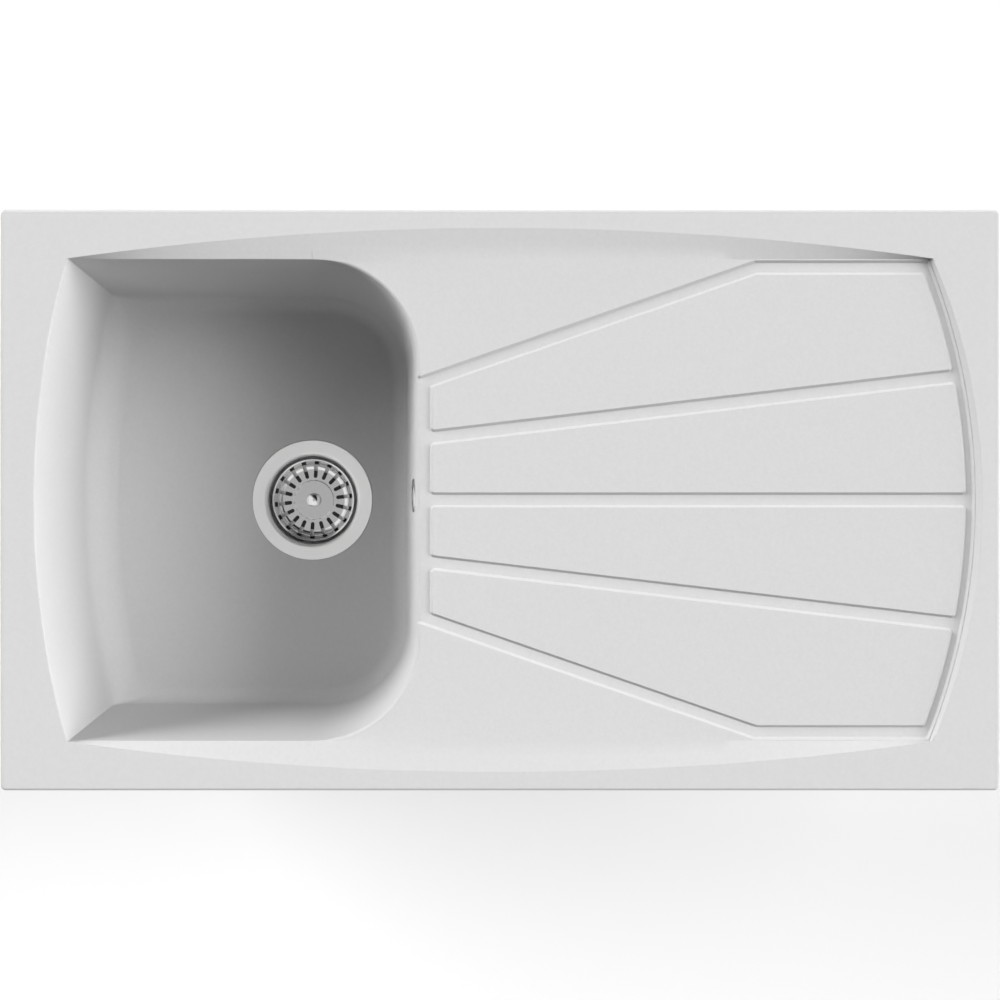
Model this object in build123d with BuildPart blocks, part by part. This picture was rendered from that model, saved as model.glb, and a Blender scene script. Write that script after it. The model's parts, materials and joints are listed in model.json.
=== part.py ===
from build123d import *
import os
from math import atan2, cos, degrees, hypot, radians, sin, sqrt, tan

# An inset kitchen sink of stone composite, in millimetres. +X points from the bowl to the drainer,
# +Y to the back and +Z up. The origin is the middle of the rim, on the worktop that the rim rests on.

# Rim
RIM_LENGTH = 860.0
RIM_WIDTH = 500.0
RIM_HEIGHT = 10.0
RIM_CORNER = 5.0
RIM_EDGE_ROUND = 2.5
RIM_OVERLAP = 10.0  # rim that rests on the worktop around its cut-out
LIP_WIDTH = 4.0
SEAL_WIDTH = 7.0
SEAL_HEIGHT = 2.0
CUTOUT_CLEARANCE = 2.0
MERGE = 1.0  # how far moulded walls run into the deck

# Recess in the rim, given by the flat deck left around it
RECESS_DEPTH = 5.0
DECK_LEFT = 29.8
DECK_RIGHT = 15.2
DECK_BACK = 16.1
CORNER_MARGIN_X = 57.5
CORNER_MARGIN_Y = 42.3
RECESS_WALL_RUN = 4.3
RECESS_EDGE_ROUND = 2.0
TRAY_WALL = 7.5
TRAY_THICKNESS = 9.0

# Bowl
BOWL_DEPTH = 200.0
BOWL_LENGTH = 329.2
BOWL_CORNER = 91.0
SIDE_DRAFT = 4.2
RIGHT_DRAFT = 5.5
LEFT_DRAFT = 2.4
FLOOR_COVE = 16.0
LEFT_COVE = 28.0
COVE_RUNOUT = 0.3
BOWL_EDGE_ROUND = 3.0
OUTSIDE_CORNER = 12.0
BOWL_WALL = 9.0
FLOOR_THICKNESS = 10.0

# Drainer
DRAINER_MOUTH = 212.4
SHOULDER_LENGTH = 153.0
DRAINER_LEDGE = 1.0
GUTTER_WIDTH = 12.5
BOW_GUTTER = 9.0  # gutter at the panels' right ends
MOUTH_GUTTER = 12.5
GROOVE_WIDTH = 13.0
GROOVE_DEPTH = 2.5
GROOVE_DRAFT = 40.0
PANEL_CORNER = 2.0
FAN_LEFT = 54.0  # outer grooves' distance from the middle one at their two ends
FAN_RIGHT = 106.4

# Basket waste
DRAIN_FROM_RIGHT = 109.0
FLANGE_RADIUS = 57.5
FLANGE_RISE = 0.5
FLANGE_ROLL = 3.6  # rolled lip between flange and cup
CUP_BEND = 2.0
GASKET_HEIGHT = 2.0
LOWER_GASKET_HEIGHT = 3.0
CUP_RADIUS = 42.6
CUP_SHEET = 1.2
CUP_WALL_DEPTH = 13.0
SEAT_OUTER = 36.0
SEAT_INNER = 24.5
HUB_HOLES = 6
HUB_HOLE_RADIUS = 4.6
HUB_HOLE_CIRCLE = 15.0

# Basket
BASKET_RADIUS = 40.0
BASKET_SHEET = 0.8
BASKET_BEND = 1.4
BASKET_CORNER = 7.0
BASKET_DROP = 8.0  # rim of the basket below the top of the flange
BASKET_DEPTH = 9.5
BASKET_LIP = 1.6
BASKET_THROAT = 37.6
BASKET_FLOOR = 34.0
BASKET_EMBOSS = 0.7
EMBOSS_RADIUS = 18.6
SLOT_COUNT = 18
SLOT_WIDTH = 3.6
SLOT_INNER = 21.4
SLOT_OUTER = 34.6
SLOT_TURN = -3.5
KNOB_RADIUS = 6.6
KNOB_HEIGHT = 7.5
KNOB_CAP = 3.6
KNOB_NECK = 4.2
STEM_RADIUS = 3.0
STOPPER_RADIUS = 28.5
STOPPER_WEB = 2.8
STOPPER_LIP_WIDTH = 3.0
STOPPER_LIP_DROP = 1.6
WASHER_RADIUS = 9.0
WASHER_HEIGHT = 1.2
NUT_FLATS = 10.0
NUT_HEIGHT = 4.0
STEM_END = 0.6
STEM_CLEARANCE = 2.0

# Waste body
WASTE_WALL = 3.0
WASTE_RADIUS = 52.0
WASTE_FLANGE_HEIGHT = 5.0
WASTE_CHAMBER = 30.0
WASTE_CONE = 14.0
OUTLET_RADIUS = 23.9
OUTLET_WALL = 3.9
OUTLET_LENGTH = 26.0
OUTLET_RELIEF_LENGTH = 6.0
OUTLET_RELIEF_DEPTH = 1.5
BOSS_RADIUS = 9.0
BOSS_HEIGHT = 22.0
SPOKE_COUNT = 3
SPOKE_WIDTH = 4.0
SPOKE_HEIGHT = 10.0
INSERT_RADIUS = 6.0
INSERT_HEIGHT = 14.0
SCREW_RADIUS = 4.0
SCREW_HEAD_RADIUS = 7.5
SCREW_HEAD_HEIGHT = 3.0
SCREW_GRIP = 18.0
DRIVE_WIDTH = 1.6
DRIVE_DEPTH = 1.2

# Overflow
OVERFLOW_DEPTH = 58.0
OVERFLOW_Y = 4.0
OVERFLOW_HOLE = 12.5
COVER_RADIUS = 15.0
COVER_PROUD = 1.8
COVER_SHEET = 1.0
COVER_BEND = 1.2
COVER_HOLES = 8
COVER_HOLE_RADIUS = 1.7
COVER_HOLE_CIRCLE = 9.4
COVER_SCREW_RADIUS = 2.5
COVER_SCREW_HEAD = 4.2
COVER_SCREW_HEAD_HEIGHT = 1.4
COVER_SCREW_GRIP = 12.0
OVERFLOW_GASKET_HEIGHT = 2.0
ELBOW_FLANGE_RADIUS = 21.0
ELBOW_FLANGE_HEIGHT = 4.0
ELBOW_RADIUS = 14.0
ELBOW_WALL = 3.0
ELBOW_REACH = 28.0
ELBOW_DROP = 16.0
ELBOW_PILLAR = 5.0
COLLAR_RADIUS = 13.0
COLLAR_LENGTH = 20.0
INLET_LENGTH = 22.0
INLET_DROP = 20.0
PIPE_RADIUS = 10.0
PIPE_WALL = 1.6
PIPE_BEND = 32.0
PIPE_INSERTION = 14.0
PIPE_NUT_WALL = 2.6
PIPE_NUT_GRIP = 9.0
PIPE_NUT_LAND = 3.0
PIPE_NUT_RIBS = 12
PIPE_NUT_RIB = 1.2
PIPE_SEAL_HEIGHT = 4.0

# Worktop clips
WORKTOP_THICKNESS = 40.0
CLIP_INSET = 13.0  # from the cut-out's edge to a clip's screw
CLIP_END_INSET = 75.0
CLIP_MIDDLE_SPACING = 236.0
CLIP_BOSS_RADIUS = 9.0
CLIP_BOSS_DROP = 14.0
CLIP_INSERT_RADIUS = 4.5
CLIP_INSERT_LENGTH = 12.0
CLIP_WIDTH = 14.0
CLIP_SHEET = 2.0
CLIP_BEND = 3.0
CLIP_REACH = 38.0
CLIP_HEEL = 7.0
CLIP_TOOTH = 5.0
CLIP_SCREW_RADIUS = 2.5
CLIP_SCREW_HEAD = 4.6
CLIP_SCREW_HEAD_HEIGHT = 3.5
CLIP_SCREW_SOCKET = 2.0

# Clearances
FIT = 0.05
LOOSE = 0.3
SEAT_CLEARANCE = 1.0
CUP_HOLE_CLEARANCE = 2.7

os.makedirs("parts", exist_ok=True)


def bow_radius(half_chord, rise):
    """Radius of an arc from half its chord and its rise."""
    return (half_chord**2 + rise**2) / (2 * rise)


# Levels and edges worked out from the sizes above
deck_z = RIM_HEIGHT
recess_z = deck_z - RECESS_DEPTH
tray_z = recess_z - TRAY_THICKNESS
floor_z = deck_z - BOWL_DEPTH
under_z = floor_z - FLOOR_THICKNESS
merge_z = SEAL_HEIGHT + MERGE
recess_left = DECK_LEFT - RIM_LENGTH / 2
recess_right = RIM_LENGTH / 2 - DECK_RIGHT
recess_back = RIM_WIDTH / 2 - DECK_BACK
corner_x = RIM_LENGTH / 2 - CORNER_MARGIN_X
corner_y = RIM_WIDTH / 2 - CORNER_MARGIN_Y
bowl_right = recess_left + BOWL_LENGTH
past_left = recess_left - 2 * BOWL_WALL
cutout_x = RIM_LENGTH / 2 - RIM_OVERLAP
cutout_y = RIM_WIDTH / 2 - RIM_OVERLAP
left_axis_x = recess_left + bow_radius(corner_y, -corner_x - recess_left)
left_axis = Axis((left_axis_x, 0, 0), (0, 0, 1))
low_corner_x = corner_x - RECESS_WALL_RUN / 2
low_right = recess_right - RECESS_WALL_RUN
low_bow = bow_radius(corner_y, low_right - low_corner_x)

# Waste levels, from the flange down to the outlet
drain_x = bowl_right - DRAIN_FROM_RIGHT
drain_axis = Axis((drain_x, 0, 0), (0, 0, 1))
drain_section = Plane((drain_x, 0, 0), x_dir=(1, 0, 0), z_dir=(0, -1, 0))
flange_top = floor_z + FLANGE_RISE
flange_under = flange_top - CUP_SHEET
flange_seat = flange_under - GASKET_HEIGHT
floor_hole = CUP_RADIUS + CUP_SHEET + CUP_HOLE_CLEARANCE
basket_rim = flange_top - BASKET_DROP
basket_floor = basket_rim - BASKET_DEPTH
basket_under = basket_floor - BASKET_SHEET
stopper_under = basket_under - STOPPER_WEB
seat_z = stopper_under - STOPPER_LIP_DROP - LOOSE
washer_under = stopper_under - WASHER_HEIGHT
nut_under = washer_under - NUT_HEIGHT
stem_end = nut_under - STEM_END
hub_top = stem_end - STEM_CLEARANCE - SCREW_HEAD_HEIGHT
hub_under = hub_top - CUP_SHEET
waste_top = under_z - LOWER_GASKET_HEIGHT
cone_top = waste_top - WASTE_CHAMBER
outlet_top = cone_top - WASTE_CONE
outlet_end = outlet_top - OUTLET_LENGTH
inlet_z = waste_top - INLET_DROP
inlet_end_x = drain_x + WASTE_RADIUS + INLET_LENGTH

# Overflow axis, square to the bowl's leaning right wall
lean = radians(RIGHT_DRAFT)
overflow_z = deck_z - OVERFLOW_DEPTH
overflow_point = Vector(bowl_right - (recess_z - overflow_z) * tan(lean), OVERFLOW_Y, overflow_z)
overflow_way = Vector(-cos(lean), 0, sin(lean))
overflow_axis = Axis(overflow_point, overflow_way)
overflow_plane = Plane(overflow_point, x_dir=(0, 1, 0), z_dir=overflow_way)
overflow_section = Plane(overflow_point, x_dir=(0, 1, 0), z_dir=(sin(lean), 0, cos(lean)))
wall_back = -BOWL_WALL * cos(lean)
elbow_face = wall_back - OVERFLOW_GASKET_HEIGHT
elbow_turn = elbow_face - ELBOW_REACH
elbow_point = overflow_point + overflow_way * elbow_turn
collar_top = elbow_point.Z - ELBOW_DROP
collar_end = collar_top - COLLAR_LENGTH
pipe_bore = PIPE_RADIUS - PIPE_WALL

# Clips, along the back from left to right and along the front from right to left
clip_y = cutout_y - CLIP_INSET
clip_end_x = cutout_x - CLIP_END_INSET
clip_xs = (-clip_end_x, -CLIP_MIDDLE_SPACING / 2, CLIP_MIDDLE_SPACING / 2, clip_end_x)
clip_points = [(x, clip_y) for x in clip_xs] + [(x, -clip_y) for x in reversed(clip_xs)]
boss_end = -CLIP_BOSS_DROP
tooth_z = -WORKTOP_THICKNESS
clip_under = tooth_z - CLIP_TOOTH


def bowed_outline(height, corner, back, right):
    """Face with bowed back, front and right sides, which runs on past the left end of the bowl."""
    radius = bow_radius(corner[0], back - corner[1])
    end_y = back - radius + sqrt(radius**2 - past_left**2)
    with BuildSketch(Plane.XY.offset(height)) as outline:
        with BuildLine():
            ThreePointArc((past_left, end_y), (0, back), corner)
            ThreePointArc(corner, (right, 0), (corner[0], -corner[1]))
            ThreePointArc((corner[0], -corner[1]), (0, -back), (past_left, -end_y))
            Line((past_left, -end_y), (past_left, end_y))
        make_face()
    return outline.sketch


def straight_outline(height, corner, right):
    """The same face with straight back and front sides."""
    with BuildSketch(Plane.XY.offset(height)) as outline:
        with BuildLine():
            Line((past_left, corner[1]), corner)
            ThreePointArc(corner, (right, 0), (corner[0], -corner[1]))
            Line((corner[0], -corner[1]), (past_left, -corner[1]))
            Line((past_left, -corner[1]), (past_left, corner[1]))
        make_face()
    return outline.sketch


def bowl_outline(height, grow):
    """Face of the bowl at one height, which runs on past its left end."""
    drop = recess_z - height
    half = corner_y + grow - drop * tan(radians(SIDE_DRAFT))
    right = bowl_right + grow - drop * tan(lean)
    turn = BOWL_CORNER + grow - drop * tan(radians(SIDE_DRAFT))
    with BuildSketch(Plane.XY.offset(height)) as outline:
        with BuildLine():
            Line((past_left, half), (right - turn, half))
            JernArc((right - turn, half), (1, 0), turn, -90)
            Line((right, half - turn), (right, turn - half))
            JernArc((right, turn - half), (0, -1), turn, -90)
            Line((right - turn, -half), (past_left, -half))
            Line((past_left, -half), (past_left, half))
        make_face()
    return outline.sketch


def left_wall_profile(grow, bottom, cove):
    """Half section that is turned about the left wall's axis to end a solid at the bowed left wall."""
    slope = tan(radians(LEFT_DRAFT))
    top = deck_z + RECESS_DEPTH
    with BuildSketch(Plane.XZ) as profile:
        with BuildLine():
            Polyline(
                (left_axis_x, top),
                (recess_left - grow - (top - deck_z) * slope, top),
                (recess_left - grow + (deck_z - bottom) * slope, bottom),
                (left_axis_x, bottom),
                close=True,
            )
        make_face()
        fillet(profile.vertices().group_by(Axis.Y)[0].sort_by(Axis.X)[0], cove)
    return profile.sketch


def bowl_block(top, bottom, grow):
    """The bowl's inside, or its outside with grow as the wall, as one solid with rounded floor edges."""
    with BuildPart() as block:
        loft([bowl_outline(top, grow), bowl_outline(bottom, grow)], ruled=True)
        floor_edges = block.faces().sort_by(Axis.Z)[0].edges().sort_by(Axis.X)[1:]
        fillet(floor_edges, FLOOR_COVE + grow)
        end_wall = left_wall_profile(grow, bottom - COVE_RUNOUT, LEFT_COVE + grow)
        revolve(end_wall, left_axis, mode=Mode.INTERSECT)
    return block


def drainer_outline(inset, bow_inset, left):
    """Face of the drainer at the recess floor, moved in from its edge, from a left end to the right bow."""
    top = corner_y - DRAINER_LEDGE
    rise = top - DRAINER_MOUTH / 2
    run = corner_x - SHOULDER_LENGTH - bowl_right
    start = DRAINER_MOUTH / 2 - inset * hypot(rise, run) / run
    bow = low_bow - DRAINER_LEDGE - bow_inset
    left_y = start + (left - bowl_right) * rise / run
    shoulder = (bowl_right + (top - inset - start) * run / rise, top - inset)
    corner = (low_right - low_bow + sqrt(bow**2 - (top - inset) ** 2), top - inset)
    with BuildSketch(Plane.XY.offset(recess_z)) as outline:
        with BuildLine():
            Line((left, left_y), shoulder)
            Line(shoulder, corner)
            ThreePointArc(corner, (low_right - low_bow + bow, 0), (corner[0], -corner[1]))
            Line((corner[0], -corner[1]), (shoulder[0], -shoulder[1]))
            Line((shoulder[0], -shoulder[1]), (left, -left_y))
            Line((left, -left_y), (left, left_y))
        make_face()
    return outline.sketch


def sheet_section(plane, points, bend, sheet):
    """Section of a metal sheet: a line with rounded bends, thickened to its left."""
    with BuildSketch(plane) as section:
        with BuildLine():
            FilletPolyline(*points, radius=bend)
            offset(amount=sheet, side=Side.LEFT)
        make_face()
    return section.sketch


def ring(plane, outer, inner, height):
    """Plain ring that stands on a plane."""
    with BuildPart() as solid:
        with BuildSketch(plane):
            Circle(outer)
            Circle(inner, mode=Mode.SUBTRACT)
        extrude(amount=height)
    return solid


def finish(solid, name):
    """Label a finished piece and write its STEP file."""
    solid.part.label = name
    export_step(solid.part, f"parts/{name}.step")


# Inside and outside of the bowl
bowl_inside = bowl_block(recess_z, floor_z, 0)
with BuildPart() as bowl_outside:
    add(bowl_block(merge_z, under_z, BOWL_WALL).part)
    uprights = bowl_outside.edges().filter_by(lambda edge: edge.bounding_box().size.Z > BOWL_DEPTH / 2)
    fillet(uprights.sort_by(Axis.X)[:2], OUTSIDE_CORNER)

# Recess that takes in the bowl and the drainer
with BuildPart() as recess:
    mouth = bowed_outline(deck_z, (corner_x, corner_y), recess_back, recess_right)
    loft([mouth, straight_outline(recess_z, (low_corner_x, corner_y), low_right)], ruled=True)
    revolve(left_wall_profile(0, floor_z, LEFT_COVE), left_axis, mode=Mode.INTERSECT)

# Underside of the recess and drainer
with BuildPart() as tray:
    tray_corner = (corner_x + TRAY_WALL, corner_y + TRAY_WALL)
    tray_right = cutout_x - CUTOUT_CLEARANCE
    tray_mouth = bowed_outline(merge_z, tray_corner, cutout_y - CUTOUT_CLEARANCE, tray_right)
    loft([tray_mouth, straight_outline(tray_z, tray_corner, tray_right - CUTOUT_CLEARANCE)], ruled=True)
    revolve(left_wall_profile(BOWL_WALL, under_z, LEFT_COVE + BOWL_WALL), left_axis, mode=Mode.INTERSECT)

# Gutters and grooves of the drainer, which leave four raised panels
with BuildPart() as grooves:
    panel_left = bowl_right + MOUTH_GUTTER
    fan_x = low_right - low_bow + sqrt((low_bow - DRAINER_LEDGE - BOW_GUTTER) ** 2 - FAN_RIGHT**2)
    fan_angle = degrees(atan2(FAN_RIGHT - FAN_LEFT, fan_x - panel_left))
    fan_length = hypot(fan_x - panel_left, FAN_RIGHT - FAN_LEFT) + 3 * GUTTER_WIDTH
    fan_middle = ((panel_left + fan_x) / 2, (FAN_LEFT + FAN_RIGHT) / 2)
    with BuildSketch(Plane.XY.offset(recess_z)) as panels:
        add(drainer_outline(GUTTER_WIDTH, BOW_GUTTER, panel_left))
        for y, angle in ((fan_middle[1], fan_angle), (0, 0), (-fan_middle[1], -fan_angle)):
            with Locations(Location((fan_middle[0], y), angle)):
                Rectangle(fan_length, GROOVE_WIDTH, mode=Mode.SUBTRACT)
        fillet(panels.vertices(), PANEL_CORNER)
    extrude(drainer_outline(0, 0, bowl_right - MOUTH_GUTTER), amount=-GROOVE_DEPTH, taper=GROOVE_DRAFT)
    extrude(panels.sketch, amount=-GROOVE_DEPTH, taper=-GROOVE_DRAFT, mode=Mode.SUBTRACT)

# Moulded sink body
with BuildPart() as sink_body:
    with BuildSketch():
        RectangleRounded(RIM_LENGTH, RIM_WIDTH, RIM_CORNER)
    extrude(amount=RIM_HEIGHT)
    fillet(sink_body.faces().sort_by(Axis.Z)[-1].edges(), RIM_EDGE_ROUND)
    with BuildSketch():
        Rectangle(RIM_LENGTH - 2 * LIP_WIDTH, RIM_WIDTH - 2 * LIP_WIDTH)
    extrude(amount=SEAL_HEIGHT, mode=Mode.SUBTRACT)
    add(tray.part)
    add(bowl_outside.part)
    with BuildSketch(Plane.XY.offset(merge_z)):
        with Locations(clip_points):
            Circle(CLIP_BOSS_RADIUS)
    extrude(amount=boss_end - merge_z)
    add(recess.part, mode=Mode.SUBTRACT)
    add(bowl_inside.part, mode=Mode.SUBTRACT)
    recess_ends = [
        sink_body.edges().sort_by_distance((recess_left, 0, deck_z))[0],
        sink_body.edges().sort_by_distance((recess_right, 0, deck_z))[0],
    ]
    fillet(recess_ends, RECESS_EDGE_ROUND)
    fillet(sink_body.edges().sort_by_distance((bowl_right, 0, recess_z))[0], BOWL_EDGE_ROUND)
    add(grooves.part, mode=Mode.SUBTRACT)
    with Locations((drain_x, 0, floor_z)):
        seat_depth = floor_z - flange_seat
        CounterBoreHole(floor_hole, FLANGE_RADIUS + SEAT_CLEARANCE, seat_depth, 2 * FLOOR_THICKNESS)
    with Locations(overflow_plane):
        Cylinder(OVERFLOW_HOLE, 4 * BOWL_WALL, mode=Mode.SUBTRACT)
    with BuildSketch(Plane.XY.offset(boss_end)):
        with Locations(clip_points):
            Circle(CLIP_INSERT_RADIUS)
    extrude(amount=CLIP_INSERT_LENGTH, mode=Mode.SUBTRACT)
finish(sink_body, "sink_body")


# Foam seal under the rim
with BuildPart() as rim_seal:
    with BuildSketch():
        Rectangle(RIM_LENGTH - 2 * LIP_WIDTH, RIM_WIDTH - 2 * LIP_WIDTH)
        inner = 2 * (LIP_WIDTH + SEAL_WIDTH)
        Rectangle(RIM_LENGTH - inner, RIM_WIDTH - inner, mode=Mode.SUBTRACT)
    extrude(amount=SEAL_HEIGHT)
finish(rim_seal, "rim_seal")

# Flange and cup of the waste, pressed from one sheet
with BuildPart() as waste_flange:
    cup_line = [
        (FLANGE_RADIUS, flange_top),
        (CUP_RADIUS, flange_top),
        (CUP_RADIUS, flange_top - CUP_WALL_DEPTH),
        (SEAT_OUTER, seat_z),
        (SEAT_INNER, seat_z),
        (SEAT_INNER, hub_top),
        (SCREW_RADIUS + LOOSE, hub_top),
    ]
    cup_bends = (FLANGE_ROLL, CUP_BEND, CUP_BEND, CUP_BEND, CUP_BEND)
    revolve(sheet_section(drain_section, cup_line, cup_bends, CUP_SHEET), drain_axis)
    top_circles = waste_flange.edges().filter_by(GeomType.CIRCLE).group_by(Axis.Z)[-1]
    fillet(top_circles.sort_by(SortBy.RADIUS)[-1], CUP_SHEET / 2)
    with Locations((drain_x, 0, hub_top)):
        with PolarLocations(HUB_HOLE_CIRCLE, HUB_HOLES):
            Cylinder(HUB_HOLE_RADIUS, 4 * CUP_SHEET, mode=Mode.SUBTRACT)
finish(waste_flange, "waste_flange")

# Gaskets above and below the bowl floor
seat_plane = Plane((drain_x, 0, flange_seat))
flange_gasket = ring(seat_plane, FLANGE_RADIUS - CUP_SHEET, floor_hole, GASKET_HEIGHT)
finish(flange_gasket, "flange_gasket")
lower_gasket = ring(Plane((drain_x, 0, waste_top)), FLANGE_RADIUS, floor_hole, LOWER_GASKET_HEIGHT)
finish(lower_gasket, "lower_gasket")

# Strainer basket
with BuildPart() as strainer_basket:
    lip_z = basket_rim - BASKET_LIP
    disc_z = basket_floor + BASKET_EMBOSS
    basket_line = [
        (BASKET_RADIUS, lip_z),
        (BASKET_RADIUS - BASKET_SHEET, basket_rim),
        (BASKET_THROAT, basket_rim - BASKET_SHEET),
        (BASKET_FLOOR, basket_floor),
        (EMBOSS_RADIUS + BASKET_EMBOSS, basket_floor),
        (EMBOSS_RADIUS, disc_z),
        (STEM_RADIUS + FIT, disc_z),
    ]
    basket_bends = (BASKET_SHEET / 2, BASKET_BEND, BASKET_CORNER, 0, 0)
    revolve(sheet_section(drain_section, basket_line, basket_bends, BASKET_SHEET), drain_axis)
    slot_length = SLOT_OUTER - SLOT_INNER
    with BuildSketch(Plane((drain_x, 0, stopper_under))):
        with PolarLocations((SLOT_INNER + SLOT_OUTER) / 2, SLOT_COUNT, start_angle=90 + SLOT_TURN):
            SlotOverall(slot_length, SLOT_WIDTH)
    extrude(amount=flange_top - stopper_under, mode=Mode.SUBTRACT)
finish(strainer_basket, "strainer_basket")

# Knob with its stem
with BuildPart() as basket_knob:
    knob_top = disc_z + KNOB_HEIGHT
    with BuildSketch(drain_section) as knob_half:
        with BuildLine():
            Polyline(
                (0, stem_end),
                (STEM_RADIUS, stem_end),
                (STEM_RADIUS, disc_z),
                (KNOB_NECK, disc_z),
                (KNOB_NECK, knob_top - KNOB_CAP),
                (KNOB_RADIUS, knob_top - KNOB_CAP),
                (KNOB_RADIUS, knob_top - KNOB_CAP / 2),
            )
            TangentArc((0, knob_top), (KNOB_RADIUS, knob_top - KNOB_CAP / 2), tangent=(1, 0))
            Line((0, knob_top), (0, stem_end))
        make_face()
    revolve(axis=drain_axis)
finish(basket_knob, "basket_knob")

# Rubber stopper under the basket
with BuildPart() as stopper_seal:
    with BuildSketch(drain_section):
        with BuildLine():
            lip_under = stopper_under - STOPPER_LIP_DROP
            Polyline(
                (STEM_RADIUS + FIT, basket_under),
                (STOPPER_RADIUS, basket_under),
                (STOPPER_RADIUS, lip_under),
                (STOPPER_RADIUS - STOPPER_LIP_WIDTH, lip_under),
                (STOPPER_RADIUS - STOPPER_LIP_WIDTH - STOPPER_LIP_DROP, stopper_under),
                (STEM_RADIUS + FIT, stopper_under),
                close=True,
            )
        make_face()
    revolve(axis=drain_axis)
finish(stopper_seal, "stopper_seal")

# Washer and nut on the stem
stopper_washer = ring(Plane((drain_x, 0, washer_under)), WASHER_RADIUS, STEM_RADIUS + FIT, WASHER_HEIGHT)
finish(stopper_washer, "stopper_washer")
with BuildPart() as stopper_nut:
    with BuildSketch(Plane((drain_x, 0, nut_under))):
        RegularPolygon(NUT_FLATS / 2, 6, major_radius=False)
        Circle(STEM_RADIUS + FIT, mode=Mode.SUBTRACT)
    extrude(amount=NUT_HEIGHT)
finish(stopper_nut, "stopper_nut")


def waste_half(wall):
    """Half section of the waste body's outside, or of its inside with a wall taken off."""
    relief = OUTLET_RADIUS - OUTLET_RELIEF_DEPTH
    with BuildSketch(drain_section) as half:
        with BuildLine():
            if wall:
                bore = OUTLET_RADIUS - OUTLET_WALL
                Polyline(
                    (0, waste_top),
                    (WASTE_RADIUS - wall, waste_top),
                    (WASTE_RADIUS - wall, cone_top),
                    (bore, outlet_top),
                    (bore, outlet_end),
                    (0, outlet_end),
                    close=True,
                )
            else:
                Polyline(
                    (0, waste_top),
                    (FLANGE_RADIUS, waste_top),
                    (FLANGE_RADIUS, waste_top - WASTE_FLANGE_HEIGHT),
                    (WASTE_RADIUS, waste_top - WASTE_FLANGE_HEIGHT),
                    (WASTE_RADIUS, cone_top),
                    (relief, outlet_top),
                    (relief, outlet_top - OUTLET_RELIEF_LENGTH),
                    (OUTLET_RADIUS, outlet_top - OUTLET_RELIEF_LENGTH),
                    (OUTLET_RADIUS, outlet_end),
                    (0, outlet_end),
                    close=True,
                )
        make_face()
    return half.sketch


# Boss on spokes inside the waste body
with BuildPart() as spider:
    with Locations((drain_x, 0, hub_under - BOSS_HEIGHT)):
        Cylinder(BOSS_RADIUS, BOSS_HEIGHT, align=(Align.CENTER, Align.CENTER, Align.MIN))
        with PolarLocations(0, SPOKE_COUNT, start_angle=90):
            Box(WASTE_RADIUS, SPOKE_WIDTH, SPOKE_HEIGHT, align=(Align.MIN, Align.CENTER, Align.MIN))
    revolve(waste_half(0), drain_axis, mode=Mode.INTERSECT)

# Waste body with its outlet and its inlet from the overflow
with BuildPart() as waste_body:
    revolve(waste_half(0), drain_axis)
    inlet_plane = Plane((inlet_end_x, OVERFLOW_Y, inlet_z), x_dir=(0, 1, 0), z_dir=(1, 0, 0))
    with BuildSketch(inlet_plane):
        Circle(COLLAR_RADIUS)
    extrude(amount=-WASTE_RADIUS)
    revolve(waste_half(WASTE_WALL), drain_axis, mode=Mode.SUBTRACT)
    add(spider.part)
    with BuildSketch(inlet_plane):
        Circle(pipe_bore)
    extrude(amount=-WASTE_RADIUS, mode=Mode.SUBTRACT)
    with BuildSketch(inlet_plane):
        Circle(PIPE_RADIUS + LOOSE)
    extrude(amount=-PIPE_INSERTION, mode=Mode.SUBTRACT)
    with Locations((drain_x, 0, hub_under)):
        CounterBoreHole(SCREW_RADIUS + LOOSE, INSERT_RADIUS, INSERT_HEIGHT, BOSS_HEIGHT)
finish(waste_body, "waste_body")

# Brass insert and centre screw
insert_plane = Plane((drain_x, 0, hub_under - INSERT_HEIGHT))
waste_insert = ring(insert_plane, INSERT_RADIUS, SCREW_RADIUS + FIT, INSERT_HEIGHT)
finish(waste_insert, "waste_insert")
with BuildPart() as waste_screw:
    with Locations((drain_x, 0, hub_top)):
        Cylinder(SCREW_HEAD_RADIUS, SCREW_HEAD_HEIGHT, align=(Align.CENTER, Align.CENTER, Align.MIN))
        Cylinder(SCREW_RADIUS, SCREW_GRIP + CUP_SHEET, align=(Align.CENTER, Align.CENTER, Align.MAX))
    head_edge = waste_screw.faces().sort_by(Axis.Z)[-1].edges()
    fillet(head_edge, SCREW_HEAD_HEIGHT / 2)
    with Locations((drain_x, 0, hub_top + SCREW_HEAD_HEIGHT)):
        Box(2 * SCREW_HEAD_RADIUS, DRIVE_WIDTH, 2 * DRIVE_DEPTH, mode=Mode.SUBTRACT)
finish(waste_screw, "waste_screw")

# Overflow cover and its screw on the bowl wall
with BuildPart() as overflow_cover:
    dish = COVER_PROUD - COVER_SCREW_HEAD_HEIGHT
    cover_line = [
        (COVER_RADIUS, 0),
        (COVER_RADIUS, COVER_PROUD / 2),
        (COVER_RADIUS - COVER_PROUD / 2, COVER_PROUD),
        (COVER_SCREW_HEAD + COVER_BEND, COVER_PROUD),
        (COVER_SCREW_HEAD + LOOSE, dish),
        (COVER_SCREW_RADIUS + LOOSE, dish),
    ]
    cover_bends = (COVER_BEND, COVER_BEND, 0, 0)
    revolve(sheet_section(overflow_section, cover_line, cover_bends, COVER_SHEET), overflow_axis)
    with BuildSketch(overflow_plane):
        with PolarLocations(COVER_HOLE_CIRCLE, COVER_HOLES):
            Circle(COVER_HOLE_RADIUS)
    extrude(amount=2 * COVER_PROUD, mode=Mode.SUBTRACT)
finish(overflow_cover, "overflow_cover")
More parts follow.
